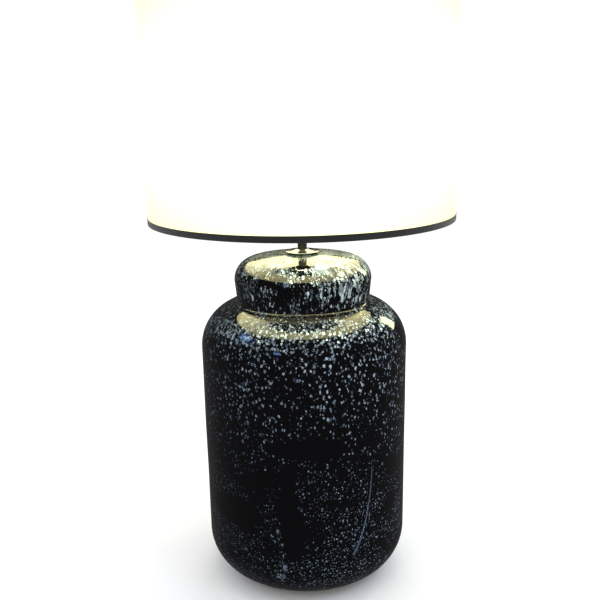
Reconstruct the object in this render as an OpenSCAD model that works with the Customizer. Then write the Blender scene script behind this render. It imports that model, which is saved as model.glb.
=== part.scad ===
// Table lamp: a blown-glass body in the shape of a lidded jar, a short stem,
// a switched screw lampholder with a clear bulb, and a fabric drum shade.
// The origin is on the table at the centre of the foot, +Z is up and the rear is +Y.

/* [Glass body] */
// Largest outer radius, where the shoulder begins
body_r = 122.5; // [110:0.5:150]
// How much narrower the wall is at the bottom than at the shoulder
body_taper = 1.7; // [0:0.1:6]
// Height of the straight wall above the table
wall_top_z = 287; // [200:1:380]
// Radius of the rounded bottom corner
corner_r = 52; // [30:1:60]
// Radius of the rounded shoulder
shoulder_r = 53; // [40:1:54]
// Thickness of the blown glass
glass_wall = 5; // [3:0.5:7]
// Radius of the recess pushed up into the bottom
punt_r = 44; // [38:1:50]
// Height of that recess
punt_h = 15; // [15:1:25]

/* [Lid form] */
// Radius at the crease where the lid form begins
crease_r = 78.5; // [72:0.5:79]
// Radius of the inner curve in the crease
crease_fillet = 3; // [2:0.5:4]
// Largest radius of the lid form
cap_r = 81; // [78:0.5:90]
// Height of the lid form above the crease
cap_h = 54; // [45:1:75]
// Radius of its rounded top edge
cap_corner_r = 25; // [15:1:30]
// Slope of the crowned top where it meets the rounded edge, in degrees
crown_deg = 10; // [6:1:14]
// Radius of the drilled hole in the top
neck_hole_r = 10; // [9:0.5:12]

/* [Centre pipe and base hardware] */
// Outer radius of the threaded centre pipe
pipe_r = 5; // [4:0.5:6]
// Wall of the centre pipe
pipe_wall = 1.1; // [0.8:0.1:1.4]
// Thickness of the felt foot
felt_t = 2; // [1.5:0.5:4]
// Thickness of the rubber gasket under the glass
base_gasket_t = 2; // [1:0.5:3]
// Radius of the steel base plate
base_plate_r = 34; // [25:1:36]
// Thickness of the steel base plate
base_plate_t = 2; // [1.5:0.5:3]
// Size across the flats of the pipe nuts
nut_flats = 14; // [13:0.5:17]
// Thickness of the pipe nuts
nut_t = 3.5; // [2.5:0.5:4]
// Thickness of the toothed lock washer
washer_t = 1; // [0.8:0.1:1.5]

/* [Top disc and stem] */
// Radius of the polished disc on the lid form
disc_r = 20; // [16:0.5:26]
// Thickness at the rim of the polished disc
disc_t = 1.2; // [1:0.1:2]
// Rise from the rim to the raised seat of the stem
disc_rise = 2; // [1:0.5:4]
// Thickness of the rubber washer under the disc
neck_gasket_t = 1.5; // [1:0.25:3]
// Wall of the black sleeve around the centre pipe
stem_wall = 0.4; // [0.4:0.1:1.5]
// Height of the stem from the disc to the lampholder
stem_h = 25; // [20:1:60]

/* [Cord inlet] */
// Height of the cord inlet in the rear wall
inlet_z = 68; // [66:1:120]
// Radius of the hole drilled through the glass
inlet_hole_r = 6.5; // [5:0.5:8]
// Radius of the rubber grommet's bore
inlet_bore_r = 3.5; // [2.5:0.25:4]
// Radius of the grommet's flanges
inlet_flange_r = 10; // [9.5:0.5:14]
// Thickness of the grommet's flanges
inlet_flange_t = 2.6; // [2:0.2:4]

/* [Lampholder] */
// Wall of the porcelain core around the screw socket
core_wall = 2.35; // [2:0.05:4]
// Wall of the lampholder's mouldings
holder_wall = 2; // [1.6:0.2:2.4]
// Height of the lower cover's straight skirt
cover_skirt_h = 8.25; // [8:0.25:14]
// Height of the upper shell
shell_h = 40; // [38:1:46]
// Height of the plain grip below the flange of the shell
grip_h = 10; // [8:1:12]
// How far the flange that carries the shade stands out from the grip
flange_step = 4.5; // [3:0.5:7]
// Thickness of that flange
flange_t = 2.2; // [1.6:0.2:3]
// How far the clamping ring stands out from the flange
ring_step = 4.5; // [3:0.5:8]
// Height of the clamping ring
shade_ring_h = 7; // [5:0.5:9]
// Pitch of the shell's outer thread
shell_pitch = 2.5; // [2:0.5:3]
// Depth of the shell's outer thread
shell_thread = 0.5; // [0.4:0.05:0.6]

/* [Switch] */
// How far the push bar stands out of the lampholder at its two ends together
bar_out = 19; // [16:0.5:24]
// Width of the push bar
bar_w = 7; // [6:0.5:8]
// Height of the push bar
bar_h = 5; // [4:0.5:5]
// Travel of the push bar from one position to the other
bar_travel = 5; // [4:0.5:6]

/* [Bulb] */
// Radius of the glass globe
bulb_r = 30; // [28:0.5:32]
// Length from the contact tip to the top of the globe
bulb_len = 105; // [102:1:120]
// Mean radius of the bulb's screw cap at its thread
bulb_thread_r = 12.6; // [12:0.1:15.2]
// Half the depth of the thread on the screw cap
bulb_thread = 0.5; // [0.4:0.05:0.55]
// Pitch of the bulb's thread
bulb_pitch = 3.63; // [3.5:0.01:3.7]
// Thickness of the bulb's glass
bulb_wall = 0.8; // [0.6:0.1:1]
// Number of light rods in the bulb
rod_count = 4; // [2:1:6]

/* [Shade] */
// Radius of the fabric drum
shade_r = 176.5; // [150:0.5:215]
// Height of the fabric drum
shade_h = 260; // [215:1:320]
// Gap from the top of the lid form to the lower edge of the shade
shade_gap = 41.5; // [35:0.5:50]
// Thickness of the fabric
fabric_t = 0.9; // [0.6:0.1:1.2]
// Thickness of the stiff liner behind the fabric
liner_t = 0.6; // [0.4:0.1:1]
// Height of the black trim tape
trim_h = 6.5; // [6.5:0.5:12]
// Thickness of the trim tape
trim_t = 0.7; // [0.4:0.1:1]
// Radius of the shade's wires
wire_r = 2; // [1.5:0.25:2.25]
// Radius of the arms that carry the shade
arm_r = 1.6; // [1.25:0.05:1.8]
// Number of arms that carry the shade
arm_count = 3; // [3:1:4]

/* [Clearances] */
// Gap between pieces that are fixed together
fixed_gap = 0.05; // [0:0.01:0.1]
// Radial gap around a piece that turns or slides
moving_gap = 0.25; // [0.15:0.05:0.3]
// Axial gap between the carried shade and the rings that hold it
seat_gap = 0.05; // [0.05:0.05:0.2]

/* [Hidden] */
$fn = 96;
eps = 0.01;          // cuts run this far past the faces they open
arc_steps = 16;      // straight steps in each arc of a turned outline
hex_sides = 6;

foot_z = felt_t;
foot_r = glass_wall + 1;
punt_corner_r = foot_r;
punt_z = foot_z + punt_h;
lower_r = body_r - body_taper;
shoulder_cx = body_r - shoulder_r;
crease_cx = crease_r + crease_fillet;
crease_z = wall_top_z
    + sqrt(pow(shoulder_r + crease_fillet, 2) - pow(crease_cx - shoulder_cx, 2));
shoulder_end = atan2(crease_z - wall_top_z, crease_cx - shoulder_cx);
crown_edge_r = cap_r - cap_corner_r + cap_corner_r * sin(crown_deg);
crown_r = crown_edge_r / sin(crown_deg);
cap_top_z = crease_z + cap_h;
cap_corner_z = cap_top_z - crown_r * (1 - cos(crown_deg)) - cap_corner_r * cos(crown_deg);

// Stack under the glass
gasket_top_z = punt_z;
plate_top_z = gasket_top_z - base_gasket_t;
washer_top_z = plate_top_z - base_plate_t;
nut_top_z = washer_top_z - washer_t;
pipe_tail = 1.5;
pipe_z0 = nut_top_z - nut_t - pipe_tail;
pipe_hole_r = pipe_r + fixed_gap;
glass_foot_hole_r = pipe_r + 1.5;
gasket_inset = 3;
base_gasket_r = base_plate_r - gasket_inset;

// Stack on the glass
bush_flange_t = neck_gasket_t;
bush_depth = glass_wall + 3;
bush_r = neck_hole_r - fixed_gap * 4;
bush_flange_r = neck_hole_r + 2.5;
neck_gasket_inset = 2.5;
neck_gasket_r = disc_r - neck_gasket_inset;
disc_z0 = cap_top_z + neck_gasket_t;
disc_seat_z = disc_z0 + disc_t + disc_rise;
stem_r = pipe_r + fixed_gap + stem_wall;
stem_seat_r = stem_r + 1.8;

// Lampholder, from the bulb's thread outwards
socket_wall = 0.5;
socket_r = bulb_thread_r + moving_gap;
core_bore_r = socket_r + bulb_thread + socket_wall + 0.3;
core_r = core_bore_r + core_wall;
shell_root_r = core_r + holder_wall;
shell_crest_r = shell_root_r + shell_thread;
holder_r = shell_crest_r + 0.5;
flange_r = holder_r + flange_step;
shade_ring_r = flange_r + ring_step;
bar_len = 2 * holder_r + bar_out;

// Lampholder levels
entry_t = 4;                       // floor of the cover around the pipe
entry_r = pipe_r + 4;
dome_a = 68;                       // the cover's dome starts this far below its side
dome_r = holder_r - entry_r;
cover_z0 = disc_seat_z + stem_h;
cover_step_z = cover_z0 + entry_t;
cover_side_z = cover_step_z + 1 + dome_r * sin(dome_a);
shell_z0 = cover_side_z + cover_skirt_h;
shell_z1 = shell_z0 + shell_h;
flange_z0 = shell_z0 + grip_h;
flange_z1 = flange_z0 + flange_t;
cover_nut_z0 = cover_z0 + entry_t;
pipe_z1 = cover_nut_z0 + nut_t + pipe_tail;
bar_z = shell_z0 - bar_h / 2 - 1.2;
core_z0 = shell_z0;
core_floor = 5;
core_foot_r = holder_r - 1.1;
core_foot_t = 1.5;
lip_t = 5;
core_top_z = shell_z1 - lip_t;
grub_r = 1.5;
grub_z = cover_z0 + entry_t / 2;
knurl_count = 24;

// Bulb levels
tip_z = core_z0 + core_floor + 2.2;
tip_h = 1.6;
insulator_h = 4.4;
cap_thread_h = 18.5;
bulb_cap_z0 = tip_z + insulator_h;
bulb_cap_z1 = bulb_cap_z0 + cap_thread_h;
collar_h = 2.6;
bulb_glass_z0 = bulb_cap_z1 + collar_h;
bulb_top_z = tip_z + bulb_len;
globe_z = bulb_top_z - bulb_r;
bulb_neck_r = bulb_thread_r - bulb_thread - 0.2;
socket_z0 = bulb_cap_z0 - 1;
socket_z1 = bulb_cap_z1 - 2;

// Shade levels
shade_z0 = cap_top_z + shade_gap;
shade_z1 = shade_z0 + shade_h;
liner_r = shade_r - fabric_t;
inner_r = liner_r - liner_t;
wire_ring_r = inner_r - wire_r;
low_wire_z = shade_z0 + wire_r;
high_wire_z = shade_z1 - wire_r;
carrier_t = 1.8;
carrier_z0 = flange_z1 + seat_gap;
carrier_z1 = carrier_z0 + carrier_t;
carrier_r0 = shell_crest_r + 2 * moving_gap;
carrier_margin = 2.5;
carrier_r1 = flange_r + carrier_margin;
ring_z0 = carrier_z1 + seat_gap;
ring_z1 = ring_z0 + shade_ring_h;

// Points of an arc about [cx, cz], from angle a0 to a1
function arc(cx, cz, r, a0, a1) = [
    for (i = [0 : arc_steps])
        let (a = a0 + (a1 - a0) * i / arc_steps)
        [cx + r * cos(a), cz + r * sin(a)]
];

// Half outline of the glass, moved inwards by inset
function glass_outline(inset) = concat(
    [[0, punt_z + inset]],
    arc(punt_r - punt_corner_r, punt_z - punt_corner_r, punt_corner_r + inset, 90, 0),
    arc(punt_r + foot_r, foot_z + foot_r, foot_r - inset, 180, 270),
    arc(lower_r - corner_r, foot_z + corner_r, corner_r - inset, 270, 360),
    arc(shoulder_cx, wall_top_z, shoulder_r - inset, 0, shoulder_end),
    arc(crease_cx, crease_z, crease_fillet + inset, 180 + shoulder_end, 180),
    arc(cap_r - cap_corner_r, cap_corner_z, cap_corner_r - inset, 0, 90 - crown_deg),
    arc(0, cap_top_z - crown_r, crown_r - inset, 90 - crown_deg, 90)
);

// Rounded thread ridges between two heights, as points of an outline.
// Two threads that mesh are given the same z_ref, so that their ridges line up.
ridge_steps = 6;
function ridges(r, depth, pitch, z0, z1, z_ref) =
    let (n = ceil((z1 - z0) / pitch * ridge_steps))
    [for (i = [0 : n])
        let (z = z0 + (z1 - z0) * i / n)
        [r + depth * sin(360 * (z - z_ref) / pitch), z]];

function backwards(points) = [for (i = [len(points) - 1 : -1 : 0]) points[i]];

// Half outline of the bulb's glass, moved inwards by inset. The neck widens by a
// power curve, whose exponent makes it run smoothly into the round globe.
globe_join_a = 40;
globe_join_r = bulb_r * cos(globe_join_a);
globe_join_z = globe_z - bulb_r * sin(globe_join_a);
neck_power = tan(globe_join_a) * (globe_join_z - bulb_glass_z0) / (globe_join_r - bulb_neck_r);
function bulb_outline(inset) = concat(
    [[0, bulb_glass_z0 + inset]],
    [for (i = [0 : arc_steps - 1])
        let (t = i / arc_steps)
        [bulb_neck_r - inset + (globe_join_r - bulb_neck_r) * pow(t, neck_power),
         bulb_glass_z0 + inset + (globe_join_z - bulb_glass_z0 - inset) * t]],
    arc(0, globe_z, bulb_r - inset, -globe_join_a, 90)
);

module turned(points) {
    rotate_extrude() polygon(points);
}

module tube(r_out, r_in, z0, z1) {
    translate([0, 0, z0])
        difference() {
            cylinder(r = r_out, h = z1 - z0);
            translate([0, 0, -eps]) cylinder(r = r_in, h = z1 - z0 + 2 * eps);
        }
}

module around(count, start = 0) {
    for (i = [0 : count - 1]) rotate([0, 0, start + 360 * i / count]) children();
}

// A cylinder that lies along +Y and starts at y0
module along_y(r, y0, length) {
    translate([0, y0, 0]) rotate([-90, 0, 0]) cylinder(r = r, h = length);
}

module hex_nut(z0) {
    translate([0, 0, z0])
        difference() {
            cylinder(r = nut_flats / 2 / cos(180 / hex_sides), h = nut_t, $fn = hex_sides);
            translate([0, 0, -eps]) cylinder(r = pipe_hole_r, h = nut_t + 2 * eps);
        }
}

module glass_body() {
    color([0.02, 0.02, 0.03])
        difference() {
            turned(glass_outline(0));
            turned(glass_outline(glass_wall));
            translate([0, 0, punt_z - eps])
                cylinder(r = glass_foot_hole_r, h = glass_wall + 2 * eps);
            translate([0, 0, cap_top_z - 2 * glass_wall])
                cylinder(r = neck_hole_r, h = 3 * glass_wall);
            translate([0, 0, inlet_z])
                along_y(inlet_hole_r, lower_r - 3 * glass_wall, 6 * glass_wall);
        }
}

felt_inset = 1.5;
felt_r = lower_r - corner_r - felt_inset;

module felt_foot() {
    color([0.05, 0.05, 0.05]) cylinder(r = felt_r, h = felt_t);
}

module base_gasket() {
    color([0.08, 0.08, 0.08]) tube(base_gasket_r, glass_foot_hole_r, plate_top_z, gasket_top_z);
}

module base_plate() {
    color([0.6, 0.6, 0.62]) tube(base_plate_r, pipe_hole_r, washer_top_z, plate_top_z);
}

tooth_count = 12;
tooth_r = 0.9;
washer_rim = 1.2;
washer_r = nut_flats / 2 + washer_rim;

module lock_washer() {
    color([0.7, 0.7, 0.7])
        difference() {
            tube(washer_r, pipe_hole_r, nut_top_z, washer_top_z);
            around(tooth_count)
                translate([washer_r, 0, nut_top_z - eps])
                    cylinder(r = tooth_r, h = washer_t + 2 * eps);
        }
}

module base_nut() {
    color([0.75, 0.65, 0.3]) hex_nut(nut_top_z - nut_t);
}

module centre_pipe() {
    color([0.7, 0.7, 0.68]) tube(pipe_r, pipe_r - pipe_wall, pipe_z0, pipe_z1);
}

module neck_bush() {
    color([0.9, 0.9, 0.86])
        union() {
            tube(bush_r, pipe_hole_r, cap_top_z - bush_depth, cap_top_z + bush_flange_t);
            difference() {
                tube(bush_flange_r, pipe_hole_r, cap_top_z - neck_gasket_t,
                     cap_top_z + bush_flange_t);
                turned(glass_outline(-fixed_gap));
            }
        }
}

module neck_gasket() {
    color([0.08, 0.08, 0.08])
        difference() {
            tube(neck_gasket_r, bush_flange_r + fixed_gap, cap_top_z - neck_gasket_t, disc_z0);
            turned(glass_outline(-fixed_gap));
        }
}

disc_edge = 0.5;
disc_slope_r = stem_seat_r + 4;

module top_disc() {
    color([0.85, 0.85, 0.87])
        turned([
            [pipe_hole_r, disc_z0],
            [disc_r - disc_edge, disc_z0],
            [disc_r, disc_z0 + disc_edge],
            [disc_r, disc_z0 + disc_t - disc_edge / 2],
            [disc_r - disc_edge, disc_z0 + disc_t],
            [disc_slope_r, disc_z0 + disc_t + disc_rise / 3],
            [stem_seat_r, disc_seat_z - disc_edge / 2],
            [stem_seat_r - disc_edge, disc_seat_z],
            [pipe_hole_r, disc_seat_z]
        ]);
}

module stem_sleeve() {
    color([0.03, 0.03, 0.03]) tube(stem_r, pipe_r + fixed_gap, disc_seat_z, cover_z0);
}

// Turned about the inlet's axis, then cut where the glass wall passes through it
grommet_edge = 0.8;
grommet_y1 = lower_r + inlet_flange_t;
grommet_y0 = lower_r - glass_wall - inlet_flange_t;

module grommet_flange(y0, y1) {
    difference() {
        translate([0, y0, inlet_z]) rotate([-90, 0, 0])
            turned([
                [inlet_bore_r, 0],
                [inlet_flange_r - grommet_edge, 0],
                [inlet_flange_r, grommet_edge],
                [inlet_flange_r, y1 - y0 - grommet_edge],
                [inlet_flange_r - grommet_edge, y1 - y0],
                [inlet_bore_r, y1 - y0]
            ]);
        children();
    }
}

module cord_grommet() {
    mid_y = lower_r - glass_wall / 2;
    color([0.06, 0.06, 0.06])
        union() {
            grommet_flange(mid_y, grommet_y1) turned(glass_outline(-fixed_gap));
            intersection() {
                grommet_flange(grommet_y0, mid_y);
                turned(glass_outline(glass_wall + fixed_gap));
            }
            difference() {
                translate([0, 0, inlet_z])
                    along_y(inlet_hole_r - fixed_gap, grommet_y0 + 1, grommet_y1 - grommet_y0 - 2);
                translate([0, 0, inlet_z])
                    along_y(inlet_bore_r, grommet_y0, grommet_y1 - grommet_y0);
            }
        }
}

// Slots in the lampholder's mouldings for the push bar
module bar_slot(gap) {
    translate([-bar_len / 2 - bar_travel, -bar_w / 2 - gap, bar_z - bar_h / 2 - gap])
        cube([bar_len + 2 * bar_travel, bar_w + 2 * gap, bar_h + 2 * gap]);
}

module holder_cover() {
    color([0.05, 0.05, 0.05])
        difference() {
            turned(concat(
                [[pipe_hole_r, cover_z0], [entry_r - 1, cover_z0], [entry_r, cover_z0 + 1]],
                [[entry_r, cover_step_z - 1]],
                arc(entry_r, cover_side_z, dome_r, -dome_a, 0),
                [[holder_r, shell_z0], [holder_r - holder_wall, shell_z0]],
                [[holder_r - holder_wall, cover_side_z]],
                [[nut_flats / 2 + 2.2, cover_step_z], [pipe_hole_r, cover_step_z]]
            ));
            bar_slot(moving_gap);
            translate([0, 0, grub_z]) along_y(grub_r, pipe_r - 1, entry_r);
        }
}

module cover_nut() {
    color([0.75, 0.65, 0.3]) hex_nut(cover_nut_z0);
}

module grub_screw() {
    slot_w = 0.5;
    slot_depth = 0.8;
    color([0.6, 0.6, 0.6])
        difference() {
            translate([0, 0, grub_z])
                along_y(grub_r - fixed_gap, pipe_r + fixed_gap, entry_r - pipe_r);
            translate([-slot_w / 2, entry_r - slot_depth, grub_z - grub_r])
                cube([slot_w, 2 * slot_depth, 2 * grub_r]);
        }
}

mouth_gap = 2.2;
mouth_r = bulb_thread_r + mouth_gap;
knurl_r = 0.7;
knurl_margin = 1.5;

module holder_shell() {
    thread_r = shell_crest_r - shell_thread / 2;
    color([0.05, 0.05, 0.05])
        difference() {
            turned(concat(
                [[0, shell_z0], [holder_r, shell_z0], [holder_r, flange_z0]],
                [[flange_r - 0.5, flange_z0], [flange_r, flange_z0 + 0.5], [flange_r, flange_z1]],
                ridges(thread_r, shell_thread / 2, shell_pitch, flange_z1, shell_z1 - 1,
                       flange_z1),
                [[shell_root_r - 0.5, shell_z1], [0, shell_z1]]
            ));
            translate([0, 0, shell_z0 - eps])
                cylinder(r = core_r + fixed_gap, h = core_top_z + fixed_gap - shell_z0 + eps);
            translate([0, 0, shell_z0 - eps])
                cylinder(r = core_foot_r + fixed_gap, h = core_foot_t + fixed_gap + eps);
            translate([0, 0, shell_z0]) cylinder(r = mouth_r, h = shell_h + eps);
            around(knurl_count)
                translate([holder_r + knurl_r / 2, 0, shell_z0 + knurl_margin])
                    cylinder(r = knurl_r, h = grip_h - 2 * knurl_margin);
        }
}

terminal_x = core_r - 7;
terminal_w = 6;
terminal_d = 4.5;
terminal_h = 4;
terminal_y = bar_w / 2 + 1.2;
post_w = 2.4;
strap_t = 0.8;

module holder_core() {
    color([0.92, 0.9, 0.85])
        difference() {
            union() {
                translate([0, 0, core_z0]) cylinder(r = core_r, h = core_top_z - core_z0);
                translate([0, 0, core_z0]) cylinder(r = core_foot_r, h = core_foot_t);
            }
            translate([0, 0, core_z0 + core_floor]) cylinder(r = core_bore_r, h = shell_h);
            for (side = [-1, 1])
                translate([side * terminal_x - post_w / 2, -post_w / 2, core_z0 - eps])
                    cube([post_w, post_w, core_floor + 2 * eps]);
        }
}

module screw_socket() {
    color([0.8, 0.65, 0.25])
        turned(concat(
            ridges(socket_r + socket_wall, bulb_thread, bulb_pitch, socket_z0, socket_z1,
                   bulb_cap_z0),
            backwards(ridges(socket_r, bulb_thread, bulb_pitch, socket_z0, socket_z1,
                             bulb_cap_z0))
        ));
}

// Flat strip metal bent in the XZ plane
module bent_strip(points, width) {
    translate([0, width / 2, 0]) rotate([90, 0, 0]) linear_extrude(width) polygon(points);
}

blade_t = 0.6;
blade_w = 6;
floor_z = core_z0 + core_floor;

// A sprung blade that lies on the core's floor and rises to the bulb's tip
module centre_contact() {
    color([0.8, 0.65, 0.25])
        bent_strip([
            [-terminal_x - 1, floor_z], [-5, floor_z], [-3, tip_z - blade_t], [3, tip_z - blade_t],
            [3, tip_z], [-3.3, tip_z], [-5.3, floor_z + blade_t],
            [-terminal_x - 1, floor_z + blade_t]
        ], blade_w);
}

// The strip that joins the other terminal to the lower edge of the screw socket
module side_contact() {
    color([0.8, 0.65, 0.25])
        bent_strip([
            [terminal_x - 1, floor_z], [socket_r, floor_z],
            [socket_r, socket_z0 - fixed_gap],
            [socket_r - blade_t, socket_z0 - fixed_gap],
            [socket_r - blade_t, floor_z + blade_t], [terminal_x - 1, floor_z + blade_t]
        ], blade_w);
}

screw_r = 1.2;
screw_head = 0.7;
screw_head_t = 1;

module terminal_blocks() {
    post = post_w - 2 * fixed_gap;
    color([0.8, 0.65, 0.25])
        for (side = [-1, 1])
            translate([side * terminal_x, 0, core_z0])
                difference() {
                    union() {
                        translate([-post / 2, -post / 2, -strap_t])
                            cube([post, post, core_floor + strap_t]);
                        translate([-post / 2, -post / 2, -strap_t])
                            cube([post, terminal_y + post, strap_t]);
                        translate([-terminal_w / 2, terminal_y, -terminal_h])
                            cube([terminal_w, terminal_d, terminal_h]);
                    }
                    translate([0, 0, -terminal_h / 2])
                        along_y(screw_r, terminal_y + terminal_d / 2, terminal_d);
                }
}

module terminal_screws() {
    color([0.7, 0.7, 0.7])
        for (side = [-1, 1])
            translate([side * terminal_x, 0, core_z0 - terminal_h / 2]) {
                along_y(screw_r - fixed_gap, terminal_y + terminal_d / 2, terminal_d / 2);
                along_y(screw_r + screw_head, terminal_y + terminal_d, screw_head_t);
            }
}

bridge_t = 0.8;
bridge_len = 12;
bridge_h = 3;
tab_w = 2;
tab_gap = 0.1;
tab_y = -bar_w / 2 - bridge_t - tab_gap;
bar_x = bar_travel / 2;        // the bar rests pushed in from the left, which is on

// Two brass tabs under the core. The bridge joins them when the bar is at its right-hand end.
module fixed_contacts() {
    color([0.8, 0.65, 0.25])
        for (x = [bar_x - bridge_len / 2 + tab_w / 2, bar_x + bridge_len / 2 - tab_w])
            translate([x - tab_w / 2, tab_y - bridge_t, bar_z - bridge_h / 2])
                cube([tab_w, bridge_t, core_z0 - bar_z + bridge_h / 2]);
}

module switch_bar() {
    tip_len = 3;
    color([0.05, 0.05, 0.05])
        translate([bar_x, 0, bar_z])
            intersection() {
                cube([bar_len, bar_w, bar_h], center = true);
                translate([-bar_len / 2, 0, 0]) rotate([0, 90, 0])
                    turned([
                        [0, 0], [bar_w / 2 - 1, 0], [bar_w, tip_len],
                        [bar_w, bar_len - tip_len], [bar_w / 2 - 1, bar_len], [0, bar_len]
                    ]);
            }
}

module switch_bridge() {
    color([0.8, 0.65, 0.25])
        translate([bar_x - bridge_len / 2, -bar_w / 2 - bridge_t, bar_z - bridge_h / 2])
            cube([bridge_len, bridge_t, bridge_h]);
}

module shade_ring() {
    thread_r = shell_crest_r - shell_thread / 2 + moving_gap;
    edge = 1;
    color([0.05, 0.05, 0.05])
        difference() {
            turned(concat(
                [[shade_ring_r - edge, ring_z0], [shade_ring_r, ring_z0 + edge]],
                [[shade_ring_r, ring_z1 - edge], [shade_ring_r - edge, ring_z1]],
                backwards(ridges(thread_r, shell_thread / 2, shell_pitch, ring_z0, ring_z1,
                                 flange_z1))
            ));
            around(knurl_count)
                translate([shade_ring_r + knurl_r, 0, ring_z0 - eps])
                    cylinder(r = 2 * knurl_r, h = shade_ring_h + 2 * eps);
        }
}

module bulb_globe() {
    color([0.9, 0.9, 0.85, 0.5])
        difference() {
            turned(bulb_outline(0));
            turned(bulb_outline(bulb_wall));
        }
}

cap_wall = 0.4;
cap_rim = 0.6;
cap_rim_rise = 0.8;

module bulb_cap() {
    color([0.8, 0.8, 0.8])
        turned(concat(
            ridges(bulb_thread_r, bulb_thread, bulb_pitch, bulb_cap_z0, bulb_cap_z1, bulb_cap_z0),
            [[bulb_thread_r + cap_rim, bulb_cap_z1 + cap_rim_rise]],
            [[bulb_thread_r + cap_rim, bulb_glass_z0]],
            [[bulb_neck_r + fixed_gap, bulb_glass_z0], [bulb_neck_r - cap_wall, bulb_cap_z1]],
            backwards(ridges(bulb_thread_r - cap_wall, bulb_thread, bulb_pitch, bulb_cap_z0,
                             bulb_cap_z1, bulb_cap_z0))
        ));
}

insulator_r = 6;

module bulb_insulator() {
    color([0.05, 0.05, 0.05])
        turned([
            [0, tip_z + tip_h], [insulator_r - 1, tip_z + tip_h], [insulator_r + 2, tip_z + 2.4],
            [bulb_thread_r - cap_wall, bulb_cap_z0], [0, bulb_cap_z0]
        ]);
}

module bulb_tip() {
    color([0.75, 0.75, 0.75])
        turned([
            [0, tip_z + fixed_gap], [2, tip_z + fixed_gap], [insulator_r - 1.6, tip_z + 0.9],
            [insulator_r - 1.6, tip_z + tip_h], [0, tip_z + tip_h]
        ]);
}

// A round wire between two points
module rod(p, q, r) {
    v = q - p;
    flat = norm([v.x, v.y]);
    translate(p) rotate([0, atan2(flat, v.z), atan2(v.y, v.x)]) cylinder(r = r, h = norm(v));
}

mount_foot_r = bulb_neck_r - bulb_wall - 1;
mount_foot_h = 1;
mount_flare_h = 6;
mount_neck_h = 12;
mount_top_z = globe_z - 26;
mount_r = 2.2;

module bulb_mount() {
    z0 = bulb_glass_z0 + bulb_wall;
    color([0.85, 0.9, 0.9, 0.6])
        turned([
            [0, z0], [mount_foot_r, z0], [mount_foot_r, z0 + mount_foot_h],
            [mount_foot_r / 2, z0 + mount_flare_h], [mount_r, z0 + mount_neck_h],
            [mount_r, mount_top_z], [0, mount_top_z]
        ]);
}

light_rod_r = 1.1;
light_rod_z0 = mount_top_z + 1;
light_rod_z1 = globe_z + 12;
light_rod_foot = 6;
light_rod_head = 9.5;
lead_r = 0.4;
lead_drop = 4;
hub_z = light_rod_z1 + 2;

module bulb_rods() {
    color([0.95, 0.8, 0.3])
        around(rod_count, 45)
            rod([light_rod_foot, 0, light_rod_z0], [light_rod_head, 0, light_rod_z1],
                light_rod_r);
}

// Leads from the mount to the foot and head of each light rod
module bulb_leads() {
    side = lead_r + 0.1;
    color([0.7, 0.7, 0.7]) {
        union() {
            translate([0, 0, mount_top_z]) cylinder(r = lead_r, h = hub_z - mount_top_z);
            around(rod_count, 45)
                rod([0, 0, hub_z - side], [light_rod_head, 0, light_rod_z1 + side], lead_r);
        }
        around(rod_count, 45)
            rod([mount_r + side, 0, light_rod_z0 - lead_drop], [light_rod_foot, 0, light_rod_z0 - side],
                lead_r);
    }
}

module shade_fabric() {
    color([0.97, 0.95, 0.82]) tube(shade_r, liner_r, shade_z0, shade_z1);
}

module shade_liner() {
    color([0.98, 0.98, 0.95]) tube(liner_r, inner_r, shade_z0, shade_z1);
}

module wire_ring(z) {
    translate([0, 0, z]) rotate_extrude() translate([wire_ring_r, 0]) circle(r = wire_r);
}

module top_wire() {
    color([0.9, 0.9, 0.9]) wire_ring(high_wire_z);
}

module bottom_wire() {
    color([0.9, 0.9, 0.9]) wire_ring(low_wire_z);
}

// Round arms, welded to the lower wire at one end and to the carrier at the other
module arms(r) {
    around(arm_count, 90)
        rod([wire_ring_r - wire_r / 2, 0, low_wire_z],
            [carrier_r1 - 1, 0, carrier_z1 - arm_r - seat_gap * 4], r);
}

module shade_arms() {
    color([0.9, 0.9, 0.9]) arms(arm_r);
}

module shade_carrier() {
    color([0.9, 0.9, 0.9]) tube(carrier_r1, carrier_r0, carrier_z0, carrier_z1);
}

// Tape folded over an edge: an outer band, the fold and a narrow inner band.
// The edge is at z0, and the tape rises from it by heights times dir.
module trim_tape(z0, dir) {
    fold_r = inner_r - 2 * wire_r;
    inner_h = 2 * wire_r + 0.5;
    turned([
        [shade_r + trim_t, z0 - dir * trim_t], [shade_r + trim_t, z0 + dir * trim_h],
        [shade_r, z0 + dir * trim_h], [shade_r, z0], [fold_r, z0],
        [fold_r, z0 + dir * inner_h], [fold_r - trim_t, z0 + dir * inner_h],
        [fold_r - trim_t, z0 - dir * trim_t]
    ]);
}

module top_trim() {
    color([0.05, 0.05, 0.05]) trim_tape(shade_z1, -1);
}

module bottom_trim() {
    color([0.05, 0.05, 0.05])
        difference() {
            trim_tape(shade_z0, 1);
            arms(arm_r + fixed_gap);
        }
}

glass_body();
felt_foot();
base_gasket();
base_plate();
lock_washer();
base_nut();
centre_pipe();
neck_bush();
neck_gasket();
top_disc();
stem_sleeve();
cord_grommet();
holder_cover();
cover_nut();
grub_screw();
holder_shell();
holder_core();
screw_socket();
centre_contact();
side_contact();
terminal_blocks();
terminal_screws();
fixed_contacts();
switch_bar();
switch_bridge();
shade_ring();
bulb_globe();
bulb_cap();
bulb_insulator();
bulb_tip();
bulb_mount();
bulb_rods();
bulb_leads();
shade_fabric();
shade_liner();
top_wire();
bottom_wire();
shade_arms();
shade_carrier();
top_trim();
bottom_trim();
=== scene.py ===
import math

import bmesh
import bpy
from mathutils import Matrix, Vector, noise


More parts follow.
